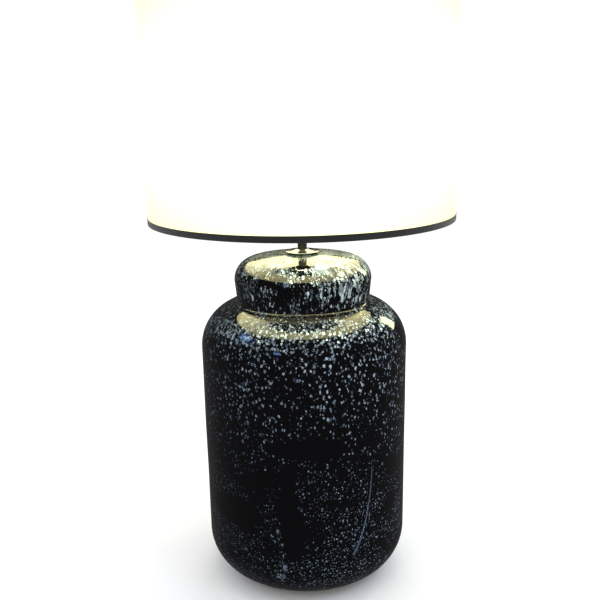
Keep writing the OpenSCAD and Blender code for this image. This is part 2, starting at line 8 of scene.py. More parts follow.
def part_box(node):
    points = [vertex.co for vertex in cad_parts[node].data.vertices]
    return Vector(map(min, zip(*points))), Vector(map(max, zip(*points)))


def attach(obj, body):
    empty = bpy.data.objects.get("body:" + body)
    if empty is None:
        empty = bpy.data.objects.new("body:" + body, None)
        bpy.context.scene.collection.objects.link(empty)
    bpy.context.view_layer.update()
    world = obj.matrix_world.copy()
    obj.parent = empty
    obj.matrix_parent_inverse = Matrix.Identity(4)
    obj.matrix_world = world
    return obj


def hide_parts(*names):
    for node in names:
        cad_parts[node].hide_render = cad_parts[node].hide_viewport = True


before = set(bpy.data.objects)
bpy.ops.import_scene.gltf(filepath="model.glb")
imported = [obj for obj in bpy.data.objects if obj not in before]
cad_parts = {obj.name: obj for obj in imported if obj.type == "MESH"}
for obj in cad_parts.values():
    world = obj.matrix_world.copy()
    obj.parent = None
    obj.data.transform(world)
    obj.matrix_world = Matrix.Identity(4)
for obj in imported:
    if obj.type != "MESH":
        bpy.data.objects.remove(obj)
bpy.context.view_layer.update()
print("frame loaded:", len(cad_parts), "nodes")

mm = 0.001
scene = bpy.context.scene
scene.view_settings.view_transform = "Standard"


# sRGB hex to the linear colour that shaders want
def hexToLinear(code, alpha=1.0):
    parts = [int(code[i:i + 2], 16) / 255 for i in (1, 3, 5)]
    return [p / 12.92 if p <= 0.04045 else ((p + 0.055) / 1.055) ** 2.4 for p in parts] + [alpha]


# Adds a node, sets its properties, and fills or links its inputs
def addNode(tree, kind, inputs=None, **settings):
    node = tree.nodes.new(kind)
    for name, value in settings.items():
        setattr(node, name, value)
    for key, value in (inputs or {}).items():
        socket = node.inputs[key]
        if isinstance(value, bpy.types.Node):
            value = value.outputs[0]
        if isinstance(value, bpy.types.NodeSocket):
            tree.links.new(value, socket)
        else:
            socket.default_value = value
    return node


# A material with a Principled shader whose fixed numbers are set on its own sockets
def newMaterial(name, colour, **numbers):
    material = bpy.data.materials.new(name)
    material.use_nodes = True
    tree = material.node_tree
    shader = tree.nodes["Principled BSDF"]
    shader.inputs["Base Color"].default_value = hexToLinear(colour)
    for key, value in numbers.items():
        shader.inputs[key.replace("_", " ")].default_value = value
    return material, tree, shader


# ---- camera, floor and light

cameraSetup = {
    "place": (-0.0038, -0.9743, 0.5718),
    "pitch": math.radians(13.48),
    "roll": math.radians(1.05),
    "lens": 50.38,
}
lightSetup = {
    "room": 1.15, "reflected": 0.05,
    "window": {"place": (-0.98, -0.14, 1.09), "size": (0.34, 0.2),
              "power": 1.1, "colour": "#729fe6", "seen": True},
    "pane": {"place": (-0.58, -1.04, 0.82), "size": (0.16, 0.1),
            "power": 0.3, "colour": "#729fe6", "seen": True},
    "ceiling": {"place": (1.1, -0.7, 1.6), "size": (0.8, 0.5),
               "power": 7, "colour": "#b4d2ff", "seen": False},
    "strip": {"place": (0.24, -0.15, 0.02), "size": (0.263, 0.006),
             "power": 0.008, "colour": "#a9c8f2", "seen": True},
    "card": {"place": (0.57, 0.41, 0.56), "size": (0.15, 0.26),
            "power": 0.85, "colour": "#f2f2bc", "seen": True},
    "back": {"place": (0.3, 1.6, 1.5), "size": (1.2, 1.2), "power": 8, "colour": "#ffffff", "seen": False},
}


def makeCamera(setup):
    data = bpy.data.cameras.new("camera")
    data.lens = setup["lens"]
    data.sensor_width = 36
    camera = bpy.data.objects.new("camera", data)
    scene.collection.objects.link(camera)
    camera.location = setup["place"]
    tilt = Matrix.Rotation(math.pi / 2 - setup["pitch"], 3, "X") @ Matrix.Rotation(-setup["roll"], 3, "Z")
    camera.rotation_euler = tilt.to_euler()
    scene.camera = camera


def makeLights(setup):
    world = bpy.data.worlds.new("studio")
    scene.world = world
    world.use_nodes = True
    tree = world.node_tree
    background = tree.nodes["Background"]
    path = addNode(tree, "ShaderNodeLightPath")
    # the white room is kept out of reflections, so that the glass stays black
    strength = addNode(tree, "ShaderNodeMapRange", {"Value": path.outputs["Is Glossy Ray"],
        "To Min": setup["room"], "To Max": setup["reflected"]})
    background.inputs["Color"].default_value = hexToLinear("#ffffff")
    tree.links.new(strength.outputs[0], background.inputs["Strength"])
    for name in ("window", "pane", "ceiling", "strip", "card", "back"):
        light = setup[name]
        data = bpy.data.lights.new(name, "AREA")
        data.shape = "RECTANGLE"
        data.size, data.size_y = light["size"]
        data.energy = light["power"]
        data.color = hexToLinear(light["colour"])[:3]
        lamp = bpy.data.objects.new(name, data)
        scene.collection.objects.link(lamp)
        lamp.location = light["place"]
        lamp.visible_glossy = light["seen"]
        lamp.visible_camera = False
        aim = Vector((0, 0, light["place"][2] * 0.3)) - Vector(light["place"])
        lamp.rotation_euler = aim.to_track_quat("-Z", "Y").to_euler()
        if name == "strip":          # lies on the floor, facing up
            lamp.rotation_euler = (math.pi, 0, 0)


def makeFloor():
    half = 6.0
    material, tree, shader = newMaterial("Painted pale floor", "#f6f6f4", Roughness=0.85,
                                         Specular_IOR_Level=0.0)
    corners = [(-half, -half, 0), (half, -half, 0), (half, half, 0), (-half, half, 0)]
    floor = makeObject("floor", corners, [(0, 1, 2, 3)], material)
    floor.visible_glossy = False


# ---- shared ways of making a piece

def makeObject(name, points, faces, material, smooth=35):
    mesh = bpy.data.meshes.new(name)
    mesh.from_pydata(points, [], faces)
    mesh.materials.append(material)
    mesh.polygons.foreach_set("use_smooth", [True] * len(mesh.polygons))
    mesh.set_sharp_from_angle(angle=math.radians(smooth))
    mesh.update()
    piece = bpy.data.objects.new(name, mesh)
    scene.collection.objects.link(piece)
    return piece


def arc(cx, cz, r, start, end, steps=12):
    angles = [math.radians(start + (end - start) * i / steps) for i in range(steps + 1)]
    return [(cx + r * math.cos(a), cz + r * math.sin(a)) for a in angles]


# Turns an outline of (radius, height) in mm about the lamp's axis. The outline runs
# anticlockwise with the material on its left; a point on the axis becomes a pole.
def turned(name, outline, material, steps=128, closed=True, smooth=35, shift=None):
    points, rings = [], []
    for r, z in outline:
        if r < 1e-6:
            rings.append([len(points)])
            points.append((0, 0, z * mm))
            continue
        rings.append(list(range(len(points), len(points) + steps)))
        for i in range(steps):
            a = 2 * math.pi * i / steps
            dr = shift(r, z, a) if shift else 0.0
            points.append(((r + dr) * mm * math.cos(a), (r + dr) * mm * math.sin(a), z * mm))
    faces = []
    pairs = list(zip(rings, rings[1:]))
    if closed and len(rings[0]) > 1:
        pairs.append((rings[-1], rings[0]))
    for low, high in pairs:
        if len(low) == 1 and len(high) == 1:
            continue
        for i in range(steps):
            j = (i + 1) % steps
            if len(low) == 1:
                faces.append((low[0], high[j], high[i]))
            elif len(high) == 1:
                faces.append((low[i], low[j], high[0]))
            else:
                faces.append((low[i], low[j], high[j], high[i]))
    return makeObject(name, points, faces, material, smooth)


# The same outline with each corner rounded to r, as moulded and turned edges are
def softened(outline, r=0.4, steps=4):
    result = []
    count = len(outline)
    for i in range(count):
        here = Vector(outline[i])
        before = Vector(outline[i - 1]) - here
        after = Vector(outline[(i + 1) % count]) - here
        reach = min(r, before.length * 0.45, after.length * 0.45)
        start = here + before.normalized() * reach
        end = here + after.normalized() * reach
        for k in range(steps + 1):
            t = k / steps
            point = start * (1 - t) ** 2 + here * 2 * t * (1 - t) + end * t ** 2
            result.append((max(point.x, 0.0), point.y))
    return result


# A round bar or wire along each path, with domed ends; paths are in mm
def wires(name, paths, r, material, sides=20):
    points, faces = [], []
    for path in paths:
        path = [Vector(p) for p in path]
        ends = []
        for tip, inner in ((path[0], path[1]), (path[-1], path[-2])):
            out = (tip - inner).normalized()
            ends.append([(tip + out * r * math.sin(a), math.cos(a)) for a in (0.5, 1.0, 1.35)])
        rail = [(p, w) for p, w in reversed(ends[0])] + [(p, 1.0) for p in path] + ends[1]
        side = (rail[1][0] - rail[0][0]).orthogonal().normalized()
        first = len(points)
        for i, (centre, width) in enumerate(rail):
            along = (rail[min(i + 1, len(rail) - 1)][0] - rail[max(i - 1, 0)][0]).normalized()
            side = (side - along * side.dot(along)).normalized()
            other = along.cross(side)
            for k in range(sides):
                a = 2 * math.pi * k / sides
                points.append(tuple((centre + (side * math.cos(a) + other * math.sin(a)) * r * width) * mm))
        for i in range(len(rail) - 1):
            for k in range(sides):
                j = (k + 1) % sides
                a, b = first + i * sides, first + (i + 1) * sides
                faces.append((a + k, a + j, b + j, b + k))
        faces.append(tuple(first + k for k in reversed(range(sides))))
        faces.append(tuple(first + (len(rail) - 1) * sides + k for k in range(sides)))
    return makeObject(name, points, faces, material, 50)


# Smooth path through a few points
def smoothPath(points, steps=10):
    points = [Vector(p) for p in points]
    ends = [points[0] * 2 - points[1]] + points + [points[-1] * 2 - points[-2]]
    result = []
    for i in range(1, len(ends) - 2):
        p0, p1, p2, p3 = ends[i - 1:i + 3]
        for k in range(steps):
            t = k / steps
            result.append(0.5 * (2 * p1 + (p2 - p0) * t + (2 * p0 - 5 * p1 + 4 * p2 - p3) * t ** 2
                                 + (3 * p1 - p0 - 3 * p2 + p3) * t ** 3))
    return result + [points[-1]]


def roundedBox(name, low, high, bevel, material):
    mesh = bpy.data.meshes.new(name)
    shape = bmesh.new()
    bmesh.ops.create_cube(shape, size=1)
    for vert in shape.verts:
        vert.co = [(low[i] + high[i]) / 2 + vert.co[i] * (high[i] - low[i]) for i in range(3)]
    bmesh.ops.bevel(shape, geom=shape.edges[:] + shape.verts[:], offset=bevel, segments=4, affect="EDGES",
        profile=0.5)
    shape.to_mesh(mesh)
    shape.free()
    mesh.materials.append(material)
    mesh.polygons.foreach_set("use_smooth", [True] * len(mesh.polygons))
    piece = bpy.data.objects.new(name, mesh)
    scene.collection.objects.link(piece)
    return piece


# A piece grown by Geometry Nodes: build() links the nodes, and sizes are its named inputs
def grown(name, build, sizes, material):
    tree = bpy.data.node_groups.new(name + "Rule", "GeometryNodeTree")
    tree.interface.new_socket("Geometry", in_out="OUTPUT", socket_type="NodeSocketGeometry")
    sockets = {}
    for label, value in sizes.items():
        kind = "NodeSocketInt" if isinstance(value, int) else "NodeSocketFloat"
        sockets[label] = tree.interface.new_socket(label, in_out="INPUT", socket_type=kind)
    start = addNode(tree, "NodeGroupInput")
    shape = build(tree, start.outputs)
    real = addNode(tree, "GeometryNodeRealizeInstances", {"Geometry": shape})
    painted = addNode(tree, "GeometryNodeSetMaterial", {"Geometry": real, "Material": material})
    addNode(tree, "NodeGroupOutput", {0: painted})
    holder = bpy.data.objects.new(name + "Holder", bpy.data.meshes.new(name + "Holder"))
    scene.collection.objects.link(holder)
    modifier = holder.modifiers.new("rule", "NODES")
    modifier.node_group = tree
    for label, value in sizes.items():
        modifier[sockets[label].identifier] = value
    evaluated = holder.evaluated_get(bpy.context.evaluated_depsgraph_get())
    mesh = bpy.data.meshes.new_from_object(evaluated)
    bpy.data.objects.remove(holder)
    mesh.polygons.foreach_set("use_smooth", [True] * len(mesh.polygons))
    mesh.set_sharp_from_angle(angle=math.radians(40))
    piece = bpy.data.objects.new(name, mesh)
    scene.collection.objects.link(piece)
    return piece


def finishPiece(piece, body, slot, *nodes):
    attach(piece, body)
    if nodes:
        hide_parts(*nodes)
    return piece


def paint(nodeNames, material):
    for nodeName in nodeNames:
        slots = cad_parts[nodeName].data.materials
        slots.clear()
        slots.append(material)


def low(node):
    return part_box(node)[0].z / mm


def top(node):
    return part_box(node)[1].z / mm


def radius(node):
    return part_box(node)[1].x / mm


# ---- finishes

# A solid finish from real-scale noise: broad gives the colour drift, fine gives the
# grain and the bump, and lines stretches the grain along one direction.
def finish(name, look, **numbers):
    material, tree, shader = newMaterial(name, look["colour"], **numbers)
    place = addNode(tree, "ShaderNodeTexCoord").outputs["Object"]
    lined = addNode(tree, "ShaderNodeVectorMath", {0: place, 1: look.get("lines", (1, 1, 1))},
        operation="MULTIPLY")
    broad = addNode(tree, "ShaderNodeTexNoise", {"Vector": place, "Scale": 1000 / look["broad"],
        "Detail": 4.0, "Roughness": 0.6})
    fine = addNode(tree, "ShaderNodeTexNoise", {"Vector": lined, "Scale": 1000 / look["fine"],
        "Detail": 3.0, "Roughness": 0.55})
    spread = addNode(tree, "ShaderNodeMapRange", {"Value": broad.outputs[0], "From Min": 0.3,
        "From Max": 0.7})
    colour = addNode(tree, "ShaderNodeMix", {0: spread, 6: hexToLinear(look["colour"]),
        7: hexToLinear(look["second"])}, data_type="RGBA")
    grain = addNode(tree, "ShaderNodeMix", {0: look.get("grain", 0.15), 6: colour.outputs[2],
        7: fine.outputs[1]}, data_type="RGBA", blend_type="OVERLAY")
    tree.links.new(grain.outputs[2], shader.inputs["Base Color"])
    smooth, dull = look["roughness"]
    mixed = addNode(tree, "ShaderNodeMath", {0: fine.outputs[0], 1: 0.5, 2: spread},
        operation="MULTIPLY_ADD")
    rough = addNode(tree, "ShaderNodeMapRange", {"Value": mixed, "From Max": 1.5, "To Min": smooth,
        "To Max": dull})
    tree.links.new(rough.outputs[0], shader.inputs["Roughness"])
    bump = addNode(tree, "ShaderNodeBump", {"Height": fine.outputs[0], "Strength": look.get("bump", 0.2),
        "Distance": look.get("depth", 0.05) * mm})
    tree.links.new(bump.outputs[0], shader.inputs["Normal"])
    return material


# bright spun steel: near-mirror with faint circular turning lines
discSteel = finish("Stainless steel, polished", {
    "colour": "#c9cac6", "second": "#b4b5b2", "broad": 14, "fine": 0.6, "grain": 0.05,
    "lines": (0.2, 0.2, 3), "roughness": (0.06, 0.16), "bump": 0.05, "depth": 0.01}, Metallic=1.0)
# satin black with the faint orange peel of powder coat
powderCoat = finish("Mild steel, black powder-coated", {
    "colour": "#141416", "second": "#1c1c1f", "broad": 20, "fine": 0.9, "roughness": (0.32, 0.5),
    "bump": 0.35, "depth": 0.03}, Coat_Weight=0.2, Coat_Roughness=0.3)
# slightly uneven black with a soft shine, as pressed thermoset plastic has
phenolic = finish("Phenolic plastic, moulded black", {
    "colour": "#0e0d0c", "second": "#181614", "broad": 9, "fine": 0.35, "roughness": (0.22, 0.38),
    "bump": 0.12, "depth": 0.02}, Coat_Weight=0.3, Coat_Roughness=0.15)
# off-white, dull, with fine specks and a dry skin
porcelain = finish("Steatite porcelain, unglazed", {
    "colour": "#e9e4d6", "second": "#ddd6c4", "broad": 6, "fine": 0.3, "grain": 0.25,
    "roughness": (0.55, 0.75), "bump": 0.3, "depth": 0.03}, Subsurface_Weight=0.05)
# yellow metal with rolling lines and a little tarnish
brass = finish("Brass sheet, rolled", {
    "colour": "#b98f3e", "second": "#8f6a2b", "broad": 5, "fine": 0.25, "lines": (1, 1, 9), "grain": 0.2,
    "roughness": (0.22, 0.42), "bump": 0.2, "depth": 0.01}, Metallic=1.0)
# blue-grey crystalline bloom of electroplated zinc
zinc = finish("Mild steel, zinc-plated", {
    "colour": "#a9adb0", "second": "#8b9095", "broad": 4, "fine": 0.4, "grain": 0.3,
    "roughness": (0.28, 0.5), "bump": 0.2, "depth": 0.015}, Metallic=1.0)
# warm grey metal with pressing marks round the cap
nickel = finish("Aluminium, pressed and nickel-plated", {
    "colour": "#b9b5aa", "second": "#9d998f", "broad": 5, "fine": 0.3, "lines": (0.4, 0.4, 6), "grain": 0.15,
    "roughness": (0.18, 0.34), "bump": 0.1, "depth": 0.01}, Metallic=1.0)
# milky, slightly waxy moulded nylon
nylon = finish("Nylon, natural moulded", {
    "colour": "#e2dfd0", "second": "#d3cebb", "broad": 8, "fine": 0.5, "roughness": (0.35, 0.5),
    "bump": 0.15, "depth": 0.02}, Subsurface_Weight=0.1)
# dull black with a dusty bloom
rubber = finish("Nitrile rubber, moulded black", {
    "colour": "#17171a", "second": "#232326", "broad": 7, "fine": 0.4, "grain": 0.2,
    "roughness": (0.6, 0.85), "bump": 0.3, "depth": 0.03})
# matted black fibres
felt = finish("Wool felt, pressed black", {
    "colour": "#101012", "second": "#1e1e22", "broad": 5, "fine": 0.5, "lines": (1, 3, 1), "grain": 0.5,
    "roughness": (0.9, 1.0), "bump": 0.9, "depth": 0.3}, Sheen_Weight=0.6, Sheen_Roughness=0.6)
# thick glossy white coat that has run a little at the welds
whiteEpoxy = finish("Steel wire, white epoxy-coated", {
    "colour": "#ecebe6", "second": "#dedcd4", "broad": 12, "fine": 1.5, "roughness": (0.18, 0.35),
    "bump": 0.3, "depth": 0.05}, Coat_Weight=0.3, Coat_Roughness=0.1)


# ---- glass body

jar = {
    "bodyR": 122.5, "lowerR": 120.8, "cornerR": 52, "wallTop": 287, "shoulderR": 53, "wall": 5,
    "puntR": 44, "puntH": 15, "creaseR": 78.5, "creaseFillet": 3, "capR": 81, "capH": 54,
    "capCornerR": 25, "crownDeg": 10, "neckHole": 10, "footHole": 6.5, "inletHole": 6.5, "unevenness": 0.45,
}


def jarOutline(inset):
    j = jar
    foot = low("glass_body")
    footR = j["wall"] + 1
    punt = foot + j["puntH"]
    shoulderX = j["bodyR"] - j["shoulderR"]
    creaseX = j["creaseR"] + j["creaseFillet"]
    reach = j["shoulderR"] + j["creaseFillet"]
    creaseZ = j["wallTop"] + math.sqrt(reach ** 2 - (creaseX - shoulderX) ** 2)
    shoulderEnd = math.degrees(math.atan2(creaseZ - j["wallTop"], creaseX - shoulderX))
    crown = math.radians(j["crownDeg"])
    crownR = (j["capR"] - j["capCornerR"] + j["capCornerR"] * math.sin(crown)) / math.sin(crown)
    peak = creaseZ + j["capH"]
    cornerZ = peak - crownR * (1 - math.cos(crown)) - j["capCornerR"] * math.cos(crown)
    crownStart = 90 - j["crownDeg"]
    crownEnd = math.degrees(math.acos(j["neckHole"] / (crownR - inset)))
    wall = [(j["lowerR"] - inset + (j["bodyR"] - j["lowerR"]) * t / 12,
             foot + j["cornerR"] + (j["wallTop"] - foot - j["cornerR"]) * t / 12) for t in range(1, 12)]
    return (
        [(j["footHole"], punt + inset), (j["footHole"] + 12, punt + inset)]
        + arc(j["puntR"] - footR, punt - footR, footR + inset, 90, 0)
        + arc(j["puntR"] + footR, foot + footR, footR - inset, 180, 270)
        + arc(j["lowerR"] - j["cornerR"], foot + j["cornerR"], j["cornerR"] - inset, 270, 360, 28)
        + wall
        + arc(shoulderX, j["wallTop"], j["shoulderR"] - inset, 0, shoulderEnd, 32)
        + arc(creaseX, creaseZ, j["creaseFillet"] + inset, 180 + shoulderEnd, 180, 8)
        + arc(j["capR"] - j["capCornerR"], cornerZ, j["capCornerR"] - inset, 0, crownStart, 24)
        + arc(0, peak - crownR, crownR - inset, crownStart, crownEnd, 14)
    )


# Blown glass is never quite true: slow swells run round and up the wall
def blownShift(r, z, a):
    if r < jar["capR"] * 0.6:
        return 0.0
    spot = Vector((r * math.cos(a), r * math.sin(a), z)) / 80
    return jar["unevenness"] * noise.noise(spot)


# Silver leaf on black glass. Sizes are in mm, and each layer's zones give how full the
# leaf is from the foot (0) over the shoulder and the lid form to the stem (1).
leaf = {
    # the flecks' colours run from dim to bright blue-white: partly the silver's own colour, partly a painted
    # reflection of cool room light
    "black": "#030305",
    "dim": "#22384f",
    "bright": "#d6eafa",
    "skin": 0.52,
    # places on the skin, as centre and half-size in m
    "bareSpots": [((0.008, -0.122, 0.197), (0.045, 0.05, 0.011)),
                  ((-0.083, -0.09, 0.108), (0.034, 0.04, 0.02)),
                  ((-0.022, -0.121, 0.12), (0.012, 0.05, 0.06))],
    "flakeColumn": ((-0.031, -0.118, 0.06), (0.009, 0.05, 0.09)),
    "crackedSpot": ((-0.004, -0.122, 0.458), (0.03, 0.05, 0.02)),
    "layers": [
        {"cell": 2.4, "stretch": 1.3, "metric": "EUCLIDEAN",
         "vary": 0.22, "seed": 0.0, "patchy": 0.8, "flakes": 0.0,
         "zones": [(0.0, 0.31), (0.12, 0.31), (0.24, 0.26), (0.36, 0.08),
                   (0.6, 0.06), (0.66, 0.24), (0.74, 0.12), (1.0, 0.3)]},
        {"cell": 3.5, "stretch": 1.6, "metric": "EUCLIDEAN",
         "vary": 0.24, "seed": 3.0, "patchy": 0.8, "flakes": 0.0,
         "zones": [(0.0, -0.05), (0.12, 0.02), (0.26, 0.16), (0.4, 0.26),
                   (0.58, 0.34), (0.65, 0.5), (0.74, 0.3), (1.0, 0.6)]},
        {"cell": 7.5, "stretch": 1.5, "metric": "CHEBYCHEV",
         "vary": 0.3, "seed": 7.0, "patchy": 0.3, "flakes": 0.42,
         "zones": [(0.0, -0.1), (0.3, -0.1), (0.5, -0.02), (0.66, 0.12),
                   (0.74, 0.14), (0.79, 0.36), (0.84, 0.56), (0.88, 1.0), (1.0, 1.0)]},
    ],
}


# 1 inside an oval place on the skin, falling to 0 outside it
def oval(tree, skin, place):
    centre, size = place
    offset = addNode(tree, "ShaderNodeVectorMath", {0: skin, 1: centre}, operation="SUBTRACT")
    scaled = addNode(tree, "ShaderNodeVectorMath", {0: offset, 1: size}, operation="DIVIDE")
    far = addNode(tree, "ShaderNodeVectorMath", {0: scaled}, operation="LENGTH")
    return addNode(tree, "ShaderNodeMapRange", {"Value": far.outputs["Value"], "From Min": 1.15,
        "From Max": 0.75, "To Min": 0.0, "To Max": 1.0})


def leafGlassMaterial():
    material, tree, shader = newMaterial("Black glass with silver leaf, blown", leaf["black"], IOR=1.5,
        Specular_IOR_Level=0.3, Coat_Weight=1.0, Coat_Roughness=0.012, Coat_IOR=1.5)
    place = addNode(tree, "ShaderNodeTexCoord").outputs["Object"]
    flat = addNode(tree, "ShaderNodeVectorMath", {0: place, 1: (1, 1, 0)}, operation="MULTIPLY")
    reach = addNode(tree, "ShaderNodeVectorMath", {0: flat}, operation="LENGTH").outputs["Value"]
    outward = addNode(tree, "ShaderNodeVectorMath", {0: flat}, operation="NORMALIZE")
    around = addNode(tree, "ShaderNodeVectorMath", {0: outward, "Scale": jar["bodyR"] * mm},
        operation="SCALE")
    height = addNode(tree, "ShaderNodeSeparateXYZ", {0: place}).outputs["Z"]
    inward = addNode(tree, "ShaderNodeMath", {0: jar["bodyR"] * mm, 1: reach}, operation="SUBTRACT")
    above = addNode(tree, "ShaderNodeMath", {0: height, 1: 0.15}, operation="SUBTRACT")
    side = addNode(tree, "ShaderNodeMath", {0: above}, operation="SIGN")
    # distance along the skin: height plus how far in it has come
    along = addNode(tree, "ShaderNodeMath", {0: inward, 1: side, 2: height}, operation="MULTIPLY_ADD")
    lift = addNode(tree, "ShaderNodeCombineXYZ", {"Z": along})
    skin = addNode(tree, "ShaderNodeVectorMath", {0: around, 1: lift}, operation="ADD")
    # the leaf's edge on the lid form is ragged: it spills down on the right and stops short on the left
    ragged = addNode(tree, "ShaderNodeTexNoise", {"Vector": skin, "Scale": 45.0, "Detail": 4.0})
    turn = addNode(tree, "ShaderNodeVectorMath", {0: outward, 1: (0.93, -0.37, 0)}, operation="DOT_PRODUCT")
    spill = addNode(tree, "ShaderNodeMapRange", {"Value": turn.outputs["Value"], "From Min": 0.2,
        "From Max": 1.0, "To Min": 0.0, "To Max": 0.012})
    slack = addNode(tree, "ShaderNodeMapRange", {"Value": turn.outputs["Value"], "From Min": -1.0,
        "From Max": -0.3, "To Min": -0.02, "To Max": 0.0})
    moved = addNode(tree, "ShaderNodeMath", {0: ragged.outputs[0], 1: 0.06, 2: -0.03},
        operation="MULTIPLY_ADD")
    edgeMove = addNode(tree, "ShaderNodeMath", {0: spill, 1: slack}, operation="ADD")
    edgeAll = addNode(tree, "ShaderNodeMath", {0: edgeMove, 1: moved}, operation="ADD")
    onLid = addNode(tree, "ShaderNodeMapRange", {"Value": along, "From Min": 0.37, "From Max": 0.39})
    lidMove = addNode(tree, "ShaderNodeMath", {0: edgeAll, 1: onLid}, operation="MULTIPLY")
    reading = addNode(tree, "ShaderNodeMath", {0: along, 1: lidMove}, operation="ADD")
    share = addNode(tree, "ShaderNodeMapRange", {"Value": reading, "From Max": leaf["skin"]})
    streaked = addNode(tree, "ShaderNodeVectorMath", {0: skin, 1: (1, 1, 2.2)}, operation="MULTIPLY")
    patches = addNode(tree, "ShaderNodeTexNoise", {"Vector": streaked, "Scale": 13.0, "Detail": 3.0,
        "Distortion": 0.6})
    bare = addNode(tree, "ShaderNodeMapRange", {"Value": patches.outputs[0], "From Min": 0.31,
        "From Max": 0.42, "To Min": -0.5, "To Max": 0.02})
    wobble = addNode(tree, "ShaderNodeVectorMath", {0: patches.outputs["Color"], 1: (0.05, 0.05, 0.03),
        2: skin}, operation="MULTIPLY_ADD")
    wobbled = addNode(tree, "ShaderNodeVectorMath", {0: wobble, 1: (0.025, 0.025, 0.015)},
        operation="SUBTRACT")
    for place in leaf["bareSpots"]:
        bare = addNode(tree, "ShaderNodeMath", {0: oval(tree, wobbled, place), 1: -0.6, 2: bare},
            operation="MULTIPLY_ADD")
    column = oval(tree, skin, leaf["flakeColumn"])
    cracked = oval(tree, wobbled, leaf["crackedSpot"])
    mask, tone, tilt = None, None, None
    for layer in leaf["layers"]:
        cell = layer["cell"] * mm
        drift = addNode(tree, "ShaderNodeVectorMath", {0: skin, 1: (layer["seed"],) * 3}, operation="ADD")
        rough = addNode(tree, "ShaderNodeTexNoise", {"Vector": drift, "Scale": 1.2 / cell, "Detail": 2.0})
        centred = addNode(tree, "ShaderNodeVectorMath", {0: rough.outputs["Color"], 1: (0.5,) * 3},
            operation="SUBTRACT")
        warped = addNode(tree, "ShaderNodeVectorMath", {0: centred, 1: (cell * 0.9,) * 3, 2: drift},
            operation="MULTIPLY_ADD")
        scaled = addNode(tree, "ShaderNodeVectorMath", {0: warped, 1: (1 / cell, 1 / cell,
            1 / cell / layer["stretch"])}, operation="MULTIPLY")
        cells = addNode(tree, "ShaderNodeTexVoronoi", {"Vector": scaled, "Scale": 1.0}, feature="F1",
            distance=layer["metric"])
        dice = addNode(tree, "ShaderNodeSeparateColor", {0: cells.outputs["Color"]})
        zone = addNode(tree, "ShaderNodeFloatCurve", {"Value": share})
        curve = zone.mapping.curves[0]
        curve.points[0].location = (0.0, layer["zones"][0][1] * 0.5 + 0.5)
        curve.points[1].location = (1.0, layer["zones"][-1][1] * 0.5 + 0.5)
        for spot, full in layer["zones"][1:-1]:
            curve.points.new(spot, full * 0.5 + 0.5)
        zone.mapping.update()
        fill = addNode(tree, "ShaderNodeMath", {0: zone, 1: 2.0, 2: -1.0 - layer["vary"] / 2},
            operation="MULTIPLY_ADD")
        size = addNode(tree, "ShaderNodeMath", {0: dice.outputs["Red"], 1: layer["vary"], 2: fill},
            operation="MULTIPLY_ADD")
        filled = addNode(tree, "ShaderNodeMath", {0: column, 1: layer["flakes"], 2: size},
            operation="MULTIPLY_ADD")
        limit = addNode(tree, "ShaderNodeMath", {0: bare, 1: layer["patchy"], 2: filled},
            operation="MULTIPLY_ADD")
        inside = addNode(tree, "ShaderNodeMath", {0: limit, 1: cells.outputs["Distance"]},
            operation="SUBTRACT")
        edge = addNode(tree, "ShaderNodeMapRange", {"Value": inside, "From Min": 0.0, "From Max": 0.05})
        if mask is None:
            mask, tone, tilt = edge, dice.outputs["Green"], cells.outputs["Color"]
            continue
        tone = addNode(tree, "ShaderNodeMix", {0: edge, 2: tone, 3: dice.outputs["Green"]},
            data_type="FLOAT").outputs[0]
        tilt = addNode(tree, "ShaderNodeMix", {0: edge, 4: tilt, 5: cells.outputs["Color"]},
            data_type="VECTOR").outputs[1]
        mask = addNode(tree, "ShaderNodeMath", {0: mask, 1: edge}, operation="MAXIMUM")
    # where the leaf is whole, it has cracked as the glass swelled
    crackNoise = addNode(tree, "ShaderNodeTexNoise", {"Vector": skin, "Scale": 160.0, "Detail": 3.0})
    crackPlace = addNode(tree, "ShaderNodeVectorMath", {0: crackNoise.outputs["Color"], 1: (0.004,) * 3,
        2: skin}, operation="MULTIPLY_ADD")
    cracks = addNode(tree, "ShaderNodeTexVoronoi", {"Vector": crackPlace, "Scale": 140.0},
        feature="DISTANCE_TO_EDGE")
    crackWidth = addNode(tree, "ShaderNodeMapRange", {"Value": patches.outputs[0], "From Min": 0.4,
        "From Max": 0.62, "To Min": 0.09, "To Max": 0.004})
    crackWide = addNode(tree, "ShaderNodeMath", {0: cracked, 1: 0.3, 2: crackWidth},
        operation="MULTIPLY_ADD")
    gape = addNode(tree, "ShaderNodeMath", {0: cracks.outputs["Distance"], 1: crackWide},
        operation="SUBTRACT")
    whole = addNode(tree, "ShaderNodeMapRange", {"Value": gape, "From Min": 0.0, "From Max": 0.03})
    split = addNode(tree, "ShaderNodeMath", {0: mask, 1: whole}, operation="MULTIPLY")
